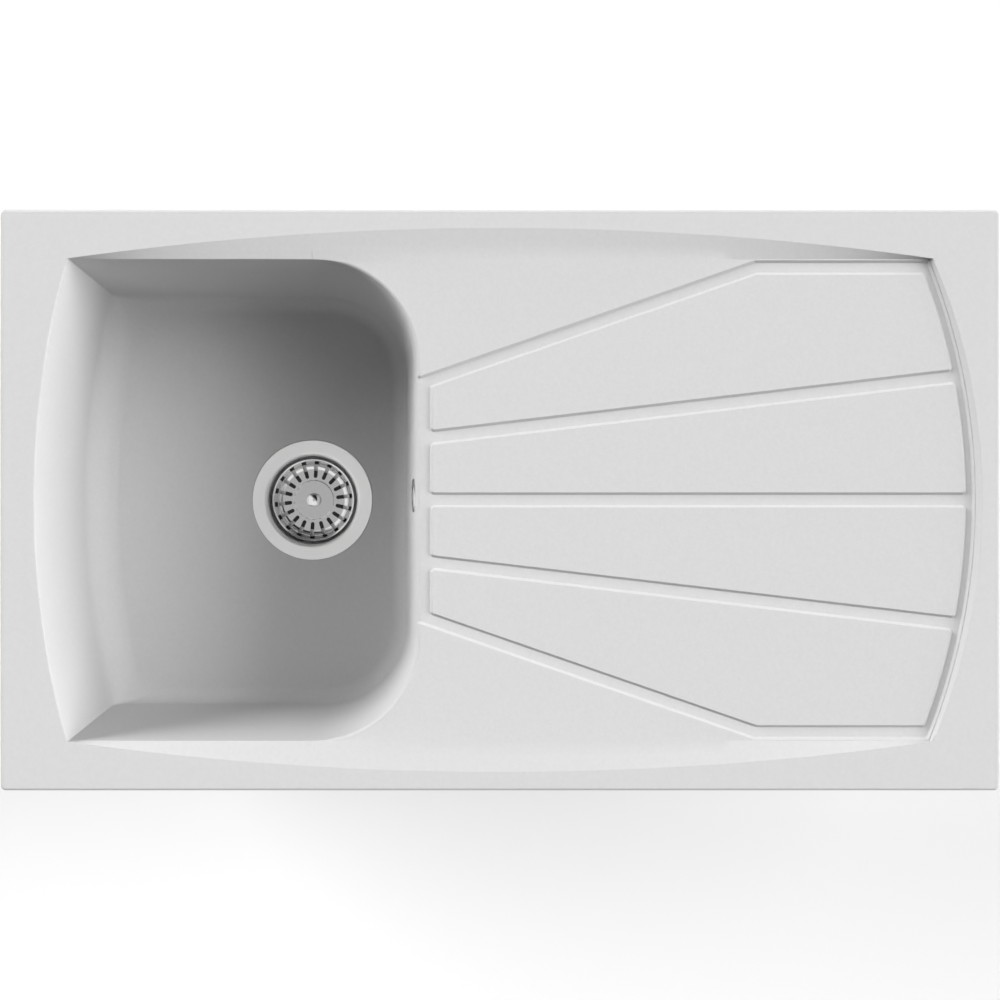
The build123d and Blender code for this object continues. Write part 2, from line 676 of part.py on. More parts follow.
with BuildPart() as overflow_screw:
    with BuildSketch(overflow_plane.offset(dish)):
        Circle(COVER_SCREW_HEAD)
    extrude(amount=COVER_SCREW_HEAD_HEIGHT)
    head_face = overflow_screw.faces().sort_by(overflow_axis)[-1]
    fillet(head_face.edges(), COVER_SCREW_HEAD_HEIGHT / 3)
    with BuildSketch(overflow_plane.offset(COVER_PROUD)):
        Rectangle(DRIVE_WIDTH, 2 * COVER_SCREW_HEAD)
    extrude(amount=-COVER_SCREW_HEAD_HEIGHT / 2, mode=Mode.SUBTRACT)
    with BuildSketch(overflow_plane.offset(dish)):
        Circle(COVER_SCREW_RADIUS)
    extrude(amount=elbow_face - COVER_SCREW_GRIP - dish)
finish(overflow_screw, "overflow_screw")

# Gasket and elbow behind the bowl wall
gasket_plane = overflow_plane.offset(elbow_face)
overflow_gasket = ring(gasket_plane, ELBOW_FLANGE_RADIUS, OVERFLOW_HOLE, OVERFLOW_GASKET_HEIGHT)
finish(overflow_gasket, "overflow_gasket")
with BuildPart() as overflow_elbow:
    collar_plane = Plane((elbow_point.X, elbow_point.Y, collar_end))
    with BuildSketch(gasket_plane):
        Circle(ELBOW_FLANGE_RADIUS)
    extrude(amount=-ELBOW_FLANGE_HEIGHT)
    with BuildSketch(gasket_plane):
        Circle(ELBOW_RADIUS)
    extrude(amount=-ELBOW_REACH)
    with BuildSketch(collar_plane.offset(COLLAR_LENGTH)):
        Circle(ELBOW_RADIUS)
    extrude(amount=ELBOW_DROP)
    with BuildSketch(collar_plane):
        Circle(COLLAR_RADIUS)
    extrude(amount=COLLAR_LENGTH)
    with Locations(elbow_point):
        Sphere(ELBOW_RADIUS)
        Sphere(ELBOW_RADIUS - ELBOW_WALL, mode=Mode.SUBTRACT)
    with BuildSketch(gasket_plane):
        Circle(ELBOW_RADIUS - ELBOW_WALL)
    extrude(amount=-ELBOW_REACH, mode=Mode.SUBTRACT)
    with BuildSketch(collar_plane):
        Circle(pipe_bore)
    extrude(amount=COLLAR_LENGTH + ELBOW_DROP, mode=Mode.SUBTRACT)
    with BuildSketch(collar_plane):
        Circle(PIPE_RADIUS + LOOSE)
    extrude(amount=PIPE_INSERTION, mode=Mode.SUBTRACT)
    with BuildSketch(gasket_plane):
        Circle(ELBOW_PILLAR)
    extrude(amount=ELBOW_WALL / 2 - ELBOW_REACH - ELBOW_RADIUS)
    with BuildSketch(gasket_plane):
        Circle(COVER_SCREW_RADIUS + FIT)
    extrude(amount=-COVER_SCREW_GRIP - LOOSE, mode=Mode.SUBTRACT)
finish(overflow_elbow, "overflow_elbow")

# Rigid overflow pipe
with BuildPart() as overflow_pipe:
    pipe_top = (elbow_point.X, elbow_point.Y, collar_end + PIPE_INSERTION)
    pipe_end = (inlet_end_x - PIPE_INSERTION, OVERFLOW_Y, inlet_z)
    with BuildLine():
        FilletPolyline(pipe_top, (elbow_point.X, OVERFLOW_Y, inlet_z), pipe_end, radius=PIPE_BEND)
    with BuildSketch(Plane(pipe_top, z_dir=(0, 0, -1))):
        Circle(PIPE_RADIUS)
        Circle(pipe_bore, mode=Mode.SUBTRACT)
    sweep()
finish(overflow_pipe, "overflow_pipe")


def pipe_nut(plane):
    """Ribbed union nut that holds a seal against a collar which ends on the plane."""
    outer = COLLAR_RADIUS + LOOSE + PIPE_NUT_WALL
    with BuildPart() as nut:
        with BuildSketch(plane.offset(-PIPE_NUT_GRIP)):
            Circle(outer)
            with PolarLocations(outer, PIPE_NUT_RIBS):
                Circle(PIPE_NUT_RIB)
        extrude(amount=PIPE_NUT_GRIP + PIPE_SEAL_HEIGHT + PIPE_NUT_LAND)
        with BuildSketch(plane.offset(-PIPE_NUT_GRIP)):
            Circle(COLLAR_RADIUS + LOOSE)
        extrude(amount=PIPE_NUT_GRIP + PIPE_SEAL_HEIGHT, mode=Mode.SUBTRACT)
        with BuildSketch(plane):
            Circle(PIPE_RADIUS + LOOSE)
        extrude(amount=2 * PIPE_SEAL_HEIGHT + PIPE_NUT_LAND, mode=Mode.SUBTRACT)
    return nut


# Compression joints at the two ends of the pipe
collar_way = Plane((elbow_point.X, elbow_point.Y, collar_end), z_dir=(0, 0, -1))
for place, plane in (("upper", collar_way), ("lower", inlet_plane)):
    finish(pipe_nut(plane), f"{place}_pipe_nut")
    finish(ring(plane, COLLAR_RADIUS, PIPE_RADIUS + FIT, PIPE_SEAL_HEIGHT), f"{place}_pipe_seal")


def clip_hook(point):
    """Bent steel clamp on its screw's axis, stowed along the rim and ready to swing out."""
    way = 1 if point[1] > 0 else -1
    hook_plane = Plane((*point, 0), x_dir=(way, 0, 0), z_dir=(0, -way, 0))
    hook_line = [
        (-CLIP_HEEL, boss_end - LOOSE),
        (-CLIP_HEEL, clip_under),
        (CLIP_REACH, clip_under),
        (CLIP_REACH, tooth_z),
    ]
    with BuildPart() as hook:
        section = sheet_section(hook_plane, hook_line, CLIP_BEND, CLIP_SHEET)
        extrude(section, amount=CLIP_WIDTH / 2, both=True)
        with Locations((*point, clip_under)):
            Cylinder(CLIP_SCREW_RADIUS + LOOSE, 4 * CLIP_SHEET, mode=Mode.SUBTRACT)
    return hook


for number, point in enumerate(clip_points, start=1):
    finish(clip_hook(point), f"clip_hook_{number}")

# Screws that carry the clips, and the inserts they turn in
with BuildPart() as clip_screws:
    with BuildSketch(Plane.XY.offset(clip_under)):
        with Locations(clip_points):
            Circle(CLIP_SCREW_HEAD)
    extrude(amount=-CLIP_SCREW_HEAD_HEIGHT)
    with BuildSketch(Plane.XY.offset(clip_under)):
        with Locations(clip_points):
            Circle(CLIP_SCREW_RADIUS)
    extrude(amount=boss_end + CLIP_INSERT_LENGTH - clip_under)
    with BuildSketch(Plane.XY.offset(clip_under - CLIP_SCREW_HEAD_HEIGHT)):
        with Locations(clip_points):
            RegularPolygon(CLIP_SCREW_SOCKET, 6, major_radius=False)
    extrude(amount=CLIP_SCREW_HEAD_HEIGHT / 2, mode=Mode.SUBTRACT)
finish(clip_screws, "clip_screws")
with BuildPart() as clip_inserts:
    with BuildSketch(Plane.XY.offset(boss_end)):
        with Locations(clip_points):
            Circle(CLIP_INSERT_RADIUS)
            Circle(CLIP_SCREW_RADIUS + FIT, mode=Mode.SUBTRACT)
    extrude(amount=CLIP_INSERT_LENGTH)
finish(clip_inserts, "clip_inserts")
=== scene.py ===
import json
from math import atan2, cos, hypot, pi, radians, sin, sqrt, tan

import bmesh
import bpy
from bpy.props import FloatProperty, FloatVectorProperty, IntProperty, PointerProperty
from bpy.types import Operator, Panel, PropertyGroup
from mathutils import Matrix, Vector
from mathutils.geometry import delaunay_2d_cdt


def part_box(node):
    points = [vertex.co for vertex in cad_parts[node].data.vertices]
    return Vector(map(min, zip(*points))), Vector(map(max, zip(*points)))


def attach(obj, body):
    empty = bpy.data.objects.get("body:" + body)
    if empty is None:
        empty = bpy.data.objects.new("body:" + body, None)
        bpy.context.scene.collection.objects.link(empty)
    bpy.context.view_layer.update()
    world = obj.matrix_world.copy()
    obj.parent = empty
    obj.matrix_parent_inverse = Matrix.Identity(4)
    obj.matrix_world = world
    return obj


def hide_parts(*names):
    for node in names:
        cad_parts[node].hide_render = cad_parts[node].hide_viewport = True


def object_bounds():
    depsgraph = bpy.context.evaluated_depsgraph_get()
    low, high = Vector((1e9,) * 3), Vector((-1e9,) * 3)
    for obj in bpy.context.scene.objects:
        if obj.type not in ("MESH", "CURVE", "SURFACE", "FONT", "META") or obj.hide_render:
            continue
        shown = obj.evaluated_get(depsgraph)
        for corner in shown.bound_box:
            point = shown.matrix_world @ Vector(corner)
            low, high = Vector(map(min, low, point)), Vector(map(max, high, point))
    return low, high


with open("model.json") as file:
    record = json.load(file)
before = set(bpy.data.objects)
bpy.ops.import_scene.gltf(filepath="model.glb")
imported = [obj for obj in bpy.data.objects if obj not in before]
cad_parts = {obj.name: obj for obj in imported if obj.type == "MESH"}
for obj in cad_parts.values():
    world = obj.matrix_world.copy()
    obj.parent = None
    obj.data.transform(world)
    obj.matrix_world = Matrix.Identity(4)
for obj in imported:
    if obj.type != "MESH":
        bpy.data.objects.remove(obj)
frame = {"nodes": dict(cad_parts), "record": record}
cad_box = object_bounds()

bl_info = {
    "name": "Inset kitchen sink",
    "version": (1, 0, 0),
    "blender": (4, 5, 0),
    "location": "3D View > Sidebar > Sink",
    "description": "Dresses the packed sink with its moulded body, waste, fittings and studio",
    "category": "Object",
}

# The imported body's box gives the rim, the deck's height and the underside of the bowl
BODY_LOW, BODY_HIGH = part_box("sink_body")
FLANGE_LOW, FLANGE_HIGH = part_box("waste_flange")
COVER_LOW, COVER_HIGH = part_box("overflow_cover")

# Points closer than this are one, and the finer gaps of filled faces and of collapsed edges
MERGE_GAP = 2e-6
FILL_GAP = MERGE_GAP / 10
THIN_GAP = MERGE_GAP / 2
# What the triangulation of a filled outline returns: only triangles within it
INSIDE_ONLY = 1
# Angles in degrees past which an edge stays sharp, on pieces made here and on packed ones
SHARP_ANGLE = 17
PACKED_SHARP_ANGLE = 32
# Depth below the recess floor from which the bowl's walls go down in level outlines
FIRST_LEVEL = 0.010
# The crease in the left corners opens late and fast towards the floor, from a least radius
CREASE_POWER = 24
CREASE_LEAST = 0.0004
# How fast a rounding grows from the ends of its edge, and along the recess's back edge
END_FADE = 5
BACK_FADE = 6
# Rounding of the bowl's right corners, as a share of how far they have turned from the side
CORNER_ROUND = 0.7
# The upright direction, and the two ends of grey
UP = Vector((0, 0, 1))
WHITE = (1, 1, 1)
BLACK = (0, 0, 0)


def length(name, default, description):
    """A size in metres that a user may change."""
    return FloatProperty(
        name=name, default=default, description=description, unit="LENGTH", precision=4
    )


def strength(name, default, description):
    """A plain number from zero up that a user may change."""
    return FloatProperty(name=name, default=default, description=description, min=0)


def angle(name, degrees, description):
    """An angle that a user may change."""
    return FloatProperty(
        name=name, default=radians(degrees), description=description, subtype="ANGLE"
    )


def colour(name, default, description):
    """A plain colour that a user may change."""
    return FloatVectorProperty(
        name=name, default=default, description=description, subtype="COLOR", size=3, min=0, max=1
    )


class BodySizes(PropertyGroup):
    """Sizes of the moulded body."""

    rim_corner: length("Rim corner", 0.005, "Radius of the rim's four corners")
    rim_round: length("Rim round", 0.0025, "Rounding of the rim's top edge")
    lip_width: length("Lip width", 0.004, "Lip that touches the worktop")
    seal_height: length("Seal height", 0.002, "Height of the seal's channel under the rim")
    recess_depth: length("Recess depth", 0.005, "Depth of the recess below the deck")
    deck_left: length("Deck at the left", 0.0298, "Flat deck left of the recess")
    deck_right: length("Deck at the right", 0.0152, "Flat deck right of the recess")
    deck_back: length("Deck at the back", 0.0161, "Flat deck behind the recess")
    corner_margin_x: length("Corner from the ends", 0.0575, "Recess corner from the rim's ends")
    corner_margin_y: length("Corner from the sides", 0.0423, "Recess corner from the rim's sides")
    right_wall_run: length("Right wall run", 0.0043, "How far the recess's right wall leans")
    mouth_round: length("Mouth round", 0.0016, "Rounding of the recess's upper edge")
    bowl_length: length("Bowl length", 0.3292, "Bowl from its left wall to its right edge")
    bowl_corner: length("Bowl corner", 0.091, "Radius of the bowl's right corners")
    side_draft: angle("Side draft", 4.2, "Lean of the bowl's back and front walls")
    right_draft: angle("Right draft", 5.5, "Lean of the bowl's right wall")
    left_draft: angle("Left draft", 2.4, "Lean of the bowl's left wall")
    floor_cove: length("Floor cove", 0.016, "Rounding between the floor and three walls")
    left_cove: length("Left cove", 0.028, "Rounding between the floor and the left wall")
    crease_round: length("Crease round", 0.030, "Radius of the left corners down at the floor")
    bowl_round: length("Bowl edge", 0.003, "Rounding of the bowl's right edge")
    side_round: length("Side edge", 0.0008, "Rounding of the bowl's back and front edges")
    wall: length("Wall", 0.009, "Thickness of the bowl's walls")
    floor_thickness: length("Floor thickness", 0.010, "Thickness of the bowl's floor")
    tray_thickness: length("Tray thickness", 0.009, "Drainer's underside below the recess floor")
    tray_margin: length("Tray margin", 0.012, "Tray's top edge inside the rim")
    outside_corner: length("Outside corner", 0.012, "Rounding of the bowl's outer left corners")
    drain_hole: length("Drain hole", 0.0465, "Radius of the hole for the waste")
    drain_seat: length("Drain seat", 0.0577, "Radius of the sunk seat around that hole")
    seat_depth: length("Seat depth", 0.0027, "Seat below the bowl's floor")
    seat_round: length("Seat round", 0.0005, "Rounding of the seat's edge")
    overflow_hole: length("Overflow hole", 0.0125, "Radius of the hole behind the overflow's cover")
    boss_radius: length("Boss radius", 0.009, "Radius of the bosses for the clips")
    boss_drop: length("Boss drop", 0.014, "Lower end of the bosses below the worktop's top")
    boss_bore: length("Boss bore", 0.0045, "Radius of the holes for the thread inserts")
    boss_bore_depth: length("Boss bore depth", 0.012, "Depth of those holes")


class DrainerSizes(PropertyGroup):
    """Sizes of the drainer's gutters and panels."""

    mouth: length("Mouth", 0.2124, "Width of the drainer where it meets the bowl")
    shoulder: length("Shoulder", 0.153, "Straight back edge from the shoulder to the right corner")
    ledge: length("Ledge", 0.001, "Ledge between the recess wall and the gutter")
    gutter: length("Gutter", 0.0125, "Width of the gutter in front of and behind the panels")
    bow_gutter: length("Bow gutter", 0.009, "Width of the gutter at the panels' right ends")
    mouth_gutter: length("Mouth gutter", 0.0125, "Width of the gutter at the bowl's edge")
    groove: length("Groove", 0.013, "Width of the grooves between panels")
    depth: length("Depth", 0.0025, "Depth of gutters and grooves")
    draft: angle("Draft", 40, "Lean of the panels' sides")
    edge_round: length("Edge round", 0.0006, "Rounding of the panels' edges")
    panel_corner: length("Panel corner", 0.002, "Radius of the panels' corners")
    fan_left: length("Fan at the left", 0.054, "Outer groove from the middle, at the bowl")
    fan_right: length("Fan at the right", 0.1064, "Outer groove from the middle, at the right")


class WasteSizes(PropertyGroup):
    """Sizes of the basket waste."""

    flange_roll: length("Flange roll", 0.0036, "Radius of the flange's rolled inner lip")
    flange_edge: length("Flange edge", 0.0006, "Rounding of the flange's outer edge")
    cup_radius: length("Cup radius", 0.0426, "Inner radius of the cup below the lip")
    cup_depth: length("Cup depth", 0.013, "Straight wall of the cup below the flange")
    cup_bend: length("Cup bend", 0.002, "Bends lower down in the cup")
    cup_sheet: length("Cup sheet", 0.0012, "Thickness of the flange and cup")
    seat_outer: length("Seat outer", 0.036, "Outer radius of the stopper's seat")
    seat_inner: length("Seat inner", 0.0245, "Inner radius of the stopper's seat")
    seat_drop: length("Seat drop", 0.023, "Stopper's seat below the top of the flange")
    hub_drop: length("Hub drop", 0.0319, "Hub of the cup below the top of the flange")
    hub_bore: length("Hub bore", 0.0043, "Radius of the hole for the centre screw")
    hub_holes: IntProperty(name="Hub holes", default=6, description="Drain holes in the hub", min=1)
    hub_hole: length("Hub hole", 0.0046, "Radius of each drain hole")
    hub_circle: length("Hub circle", 0.015, "Radius of the circle of drain holes")
    basket_radius: length("Basket radius", 0.040, "Radius of the basket's rim")
    basket_drop: length("Basket drop", 0.008, "Basket's rim below the top of the flange")
    basket_lip: length("Basket lip", 0.0016, "Height of the basket's turned-down lip")
    basket_throat: length("Basket throat", 0.0376, "Radius at the top of the basket's slanted side")
    basket_floor: length("Basket floor", 0.034, "Radius at the foot of the basket's slanted side")
    basket_depth: length("Basket depth", 0.0095, "Basket's floor below its rim")
    basket_sheet: length("Basket sheet", 0.0008, "Thickness of the basket")
    basket_bend: length("Basket bend", 0.0014, "Bend at the top of the basket's side")
    basket_corner: length("Basket corner", 0.007, "Bend between the basket's side and floor")
    emboss: length("Emboss", 0.0007, "Height of the basket's raised middle")
    emboss_radius: length("Emboss radius", 0.0186, "Radius of the raised middle")
    stem_bore: length("Stem bore", 0.00305, "Radius of the hole for the knob's stem")
    slots: IntProperty(name="Slots", default=18, description="Slots in the basket", min=3)
    slot_inner: length("Slot inner end", 0.0214, "Slots' inner ends from the middle")
    slot_outer: length("Slot outer end", 0.0346, "Slots' outer ends from the middle")
    slot_width: length("Slot width", 0.0036, "Width of the slots")
    slot_turn: angle("Slot turn", 6.5, "Turn of the first slot from the sink's length")
    thread_turns: strength("Thread turns", 8.2, "Turns of the outlet's thread")
    thread_crest: length("Thread crest", 0.0239, "Radius of the outlet's thread at its crests")
    thread_depth: length("Thread depth", 0.0012, "Depth of the outlet's thread")
    thread_length: length("Thread length", 0.020, "Length of the outlet's thread")


class ClipSizes(PropertyGroup):
    """Sizes of the screws that carry the worktop clips."""

    shank: length("Shank", 0.0025, "Radius of the thread at its crests")
    thread_depth: length("Thread depth", 0.0004, "Depth of the thread")
    pitch: length("Pitch", 0.0008, "Pitch of the thread")
    reach: length("Reach", 0.043, "Screw above the clip's underside")
    head: length("Head", 0.0046, "Radius of the head")
    head_height: length("Head height", 0.0035, "Height of the head")
    head_bevel: length("Head bevel", 0.0005, "Bevel of the head's edge")
    socket: length("Socket", 0.002, "Half the width across the socket's flats")
    socket_depth: length("Socket depth", 0.00175, "Depth of the hexagon socket")


class Finishes(PropertyGroup):
    """Colours of the finishes."""

    composite: colour("Composite", (0.59, 0.59, 0.59), "Stone composite")
    steel: colour("Steel", (0.72, 0.72, 0.715), "Stainless steel")
    zinc: colour("Zinc", (0.55, 0.56, 0.58), "Zinc-plated steel")
    brass: colour("Brass", (0.62, 0.44, 0.18), "Brass")
    rubber: colour("Rubber", (0.016, 0.016, 0.017), "Black rubber")
    plastic: colour("Plastic", (0.72, 0.72, 0.71), "White polypropylene")
    foam: colour("Foam", (0.05, 0.05, 0.052), "Foam strip")


class StageSettings(PropertyGroup):
    """Camera, light and floor."""

    camera_height: length("Camera height", 1.72, "Camera above the deck")
    lens: FloatProperty(name="Lens", default=72, description="Focal length in millimetres", min=10)
    light: strength("Light", 1.06, "Share of the lamps' full strength")
    softness: angle("Softness", 40, "How wide each lamp looks from the sink")
    ceiling: strength("Ceiling", 0.52, "Grey that metal shows of the ceiling")
    wall: strength("Wall", 0.03, "Grey that metal shows of the dim walls")
    floor_colour: colour("Floor", (0.9, 0.9, 0.9), "Pale studio floor")
    floor_glow: strength("Floor glow", 0.55, "White that the floor shows of its own")
    floor_size: length("Floor size", 12.0, "Side of the floor")


# Lamps: degrees from the sink's length towards its back, degrees over the horizon, strength
LAMPS = {
    "right": (0, 35, 0.48),
    "back right": (30, 50, 0.38),
    "low right": (0, 12, 0.70),
    "back left": (150, 22, 1.10),
}

# Share of the way up at which the studio's walls turn into its ceiling
CEILING_EDGE = (0.975, 0.990)

# Side of the studio with the bright walls, and how far round they reach
BRIGHT_SIDE = (-0.7, -0.7, 0)
BRIGHT_EDGE = (-0.3, 0.05)

# Steps around the parts of the outlines
LEFT_STEPS = 36
CREASE_STEPS = 12
SIDE_STEPS = 40
BACK_STEPS = 72
TURN_STEPS = 28
BOW_STEPS = 30
PANEL_BOW_STEPS = 14
ROUND_STEPS = 6
EDGE_STEPS = 5
MOUTH_STEPS = 12
RIM_CORNER_STEPS = 8
WALL_STEPS = 40
COVE_STEPS = 22
OUTSIDE_WALL_STEPS = 6
OUTSIDE_COVE_STEPS = 11
SEAT_STEPS = 48
TURNED_STEPS = 128
SCREW_STEPS = 20
SLOT_END_STEPS = 8
BOSS_STEPS = 32
THREAD_STEPS = 64
RIDGE_STEPS = 4
HEXAGON_STEPS = 6

# Places in the bowl's outline: start of its back side, start and end of its right corner
SIDE_FIRST = LEFT_STEPS + CREASE_STEPS
SIDE_LAST = SIDE_FIRST + SIDE_STEPS
TURN_LAST = SIDE_LAST + TURN_STEPS


def arc_radius(half_chord, rise):
    """Radius of an arc from half its chord and its rise."""
    return (half_chord**2 + rise**2) / (2 * rise)


def spread(start, end, steps):
    """Evenly spaced values from start to end."""
    return [start + (end - start) * step / steps for step in range(steps + 1)]


def eased(start, end, steps):
    """Values from start to end that lie closer together at both ends."""
    return [start + (end - start) * share**2 * (3 - 2 * share) for share in spread(0, 1, steps)]


def fade(share, speed=END_FADE):
    """Share of a rounding's full radius, which grows from the end of its edge."""
    return min(1, speed * share)


def bend(corner, way_in, way_out, radius):
    """Points of the arc that rounds a corner between two directions."""
    way_in = way_in.normalized()
    way_out = way_out.normalized()
    turn = way_in.angle(way_out)
    side = (way_out - way_in * way_in.dot(way_out)).normalized()
    centre = corner - way_in * radius * tan(turn / 2) + side * radius
    turns = spread(0, turn, ROUND_STEPS)
    return [centre + (way_in * sin(a) - side * cos(a)) * radius for a in turns]


def cove(height, radius, draft):
    """How far a cove of that radius stands in from a leaning wall, at a height over the floor."""
    if height >= radius * (1 - sin(draft)):
        return 0.0
    below = radius - height
    return radius / cos(draft) - below * tan(draft) - sqrt(radius**2 - below**2)


def flat_way(vector):
    """A direction without its upright share."""
    return Vector((vector.x, vector.y, 0))


def at_height(points, height):
    """Flat points set to one height."""
    return [Vector((point.x, point.y, height)) for point in points]


def across(columns, number):
    """The points at one place of every column."""
    return [column[number] for column in columns]


def rounded(points, radius, corners):
    """An outline of flat points with the numbered corners rounded."""
    outline = []
    for number, point in enumerate(points):
        if number in corners:
            before = points[number - 1]
            after = points[(number + 1) % len(points)]
            outline += bend(point, point - before, after - point, radius)
        else:
            outline.append(point)
    return outline


def shifted(points, distance, closed):
    """An outline moved to its right by a distance, with mitred corners."""
    moved = []
    count = len(points)
    for number, point in enumerate(points):
        ways = []
        if closed or number > 0:
            ways.append((point - points[number - 1]).normalized())
        if closed or number < count - 1:
            ways.append((points[(number + 1) % count] - point).normalized())
        normal = sum((Vector((way.y, -way.x, 0)) for way in ways), Vector()).normalized()
        stretch = normal.dot(Vector((ways[0].y, -ways[0].x, 0)))
        moved.append(point + normal * distance / stretch)
    return moved


def within(point, sides):
    """Whether a flat point lies inside an outline and outside its holes."""
    crossings = 0
    for start, end in sides:
        if (start.y > point.y) != (end.y > point.y):
            share = (point.y - start.y) / (end.y - start.y)
            crossings += start.x + share * (end.x - start.x) > point.x
    return crossings % 2 == 1


class Shell:
    """Patches of one mesh, which share the points on their common edges."""

    def __init__(self):
        self.mesh = bmesh.new()

    def grid(self, columns, closed=False):
        """Faces between neighbouring columns of points."""
        columns = [[self.mesh.verts.new(point) for point in column] for column in columns]
        if closed:
            columns.append(columns[0])
        for left, right in zip(columns, columns[1:]):
            for corners in zip(left, left[1:], right[1:], right):
                self.mesh.faces.new(corners)

    def fill(self, outline, holes=()):
        """A level face inside an outline and outside its holes."""
        points = []
        edges = []
        for loop in (outline, *holes):
            first = len(points)
            points += loop
            edges += [(first + n, first + (n + 1) % len(loop)) for n in range(len(loop))]
        flat = [point.xy for point in points]
        height = outline[0].z
        corners, _, faces, *_ = delaunay_2d_cdt(flat, edges, [], INSIDE_ONLY, FILL_GAP)
        made = [self.mesh.verts.new((*corner, height)) for corner in corners]
        sides = [(flat[a], flat[b]) for a, b in edges]
        for face in faces:
            middle = sum((corners[number] for number in face), Vector((0, 0))) / len(face)
            if within(middle, sides):
                self.mesh.faces.new([made[number] for number in face])

    def mirrored(self):
        """Adds the front half as the back half's mirror image."""
        copy = bmesh.ops.duplicate(self.mesh, geom=self.mesh.verts[:] + self.mesh.faces[:])
        for item in copy["geom"]:
            if isinstance(item, bmesh.types.BMVert):
                item.co.y = -item.co.y

    def finished(self, name):
        """A closed mesh object with its faces turned outwards."""
        bmesh.ops.remove_doubles(self.mesh, verts=self.mesh.verts, dist=MERGE_GAP)
        bmesh.ops.dissolve_degenerate(self.mesh, edges=self.mesh.edges, dist=THIN_GAP)
        bmesh.ops.recalc_face_normals(self.mesh, faces=self.mesh.faces)
        return as_object(name, self.mesh)


def added(name, data):
    """A new object with that data, in the scene."""
    piece = bpy.data.objects.new(name, data)
    bpy.context.scene.collection.objects.link(piece)
    return piece


def as_object(name, mesh):
    """A new object from a mesh that was built up here."""
    data = bpy.data.meshes.new(name)
    mesh.to_mesh(data)
    mesh.free()
    return added(name, data)


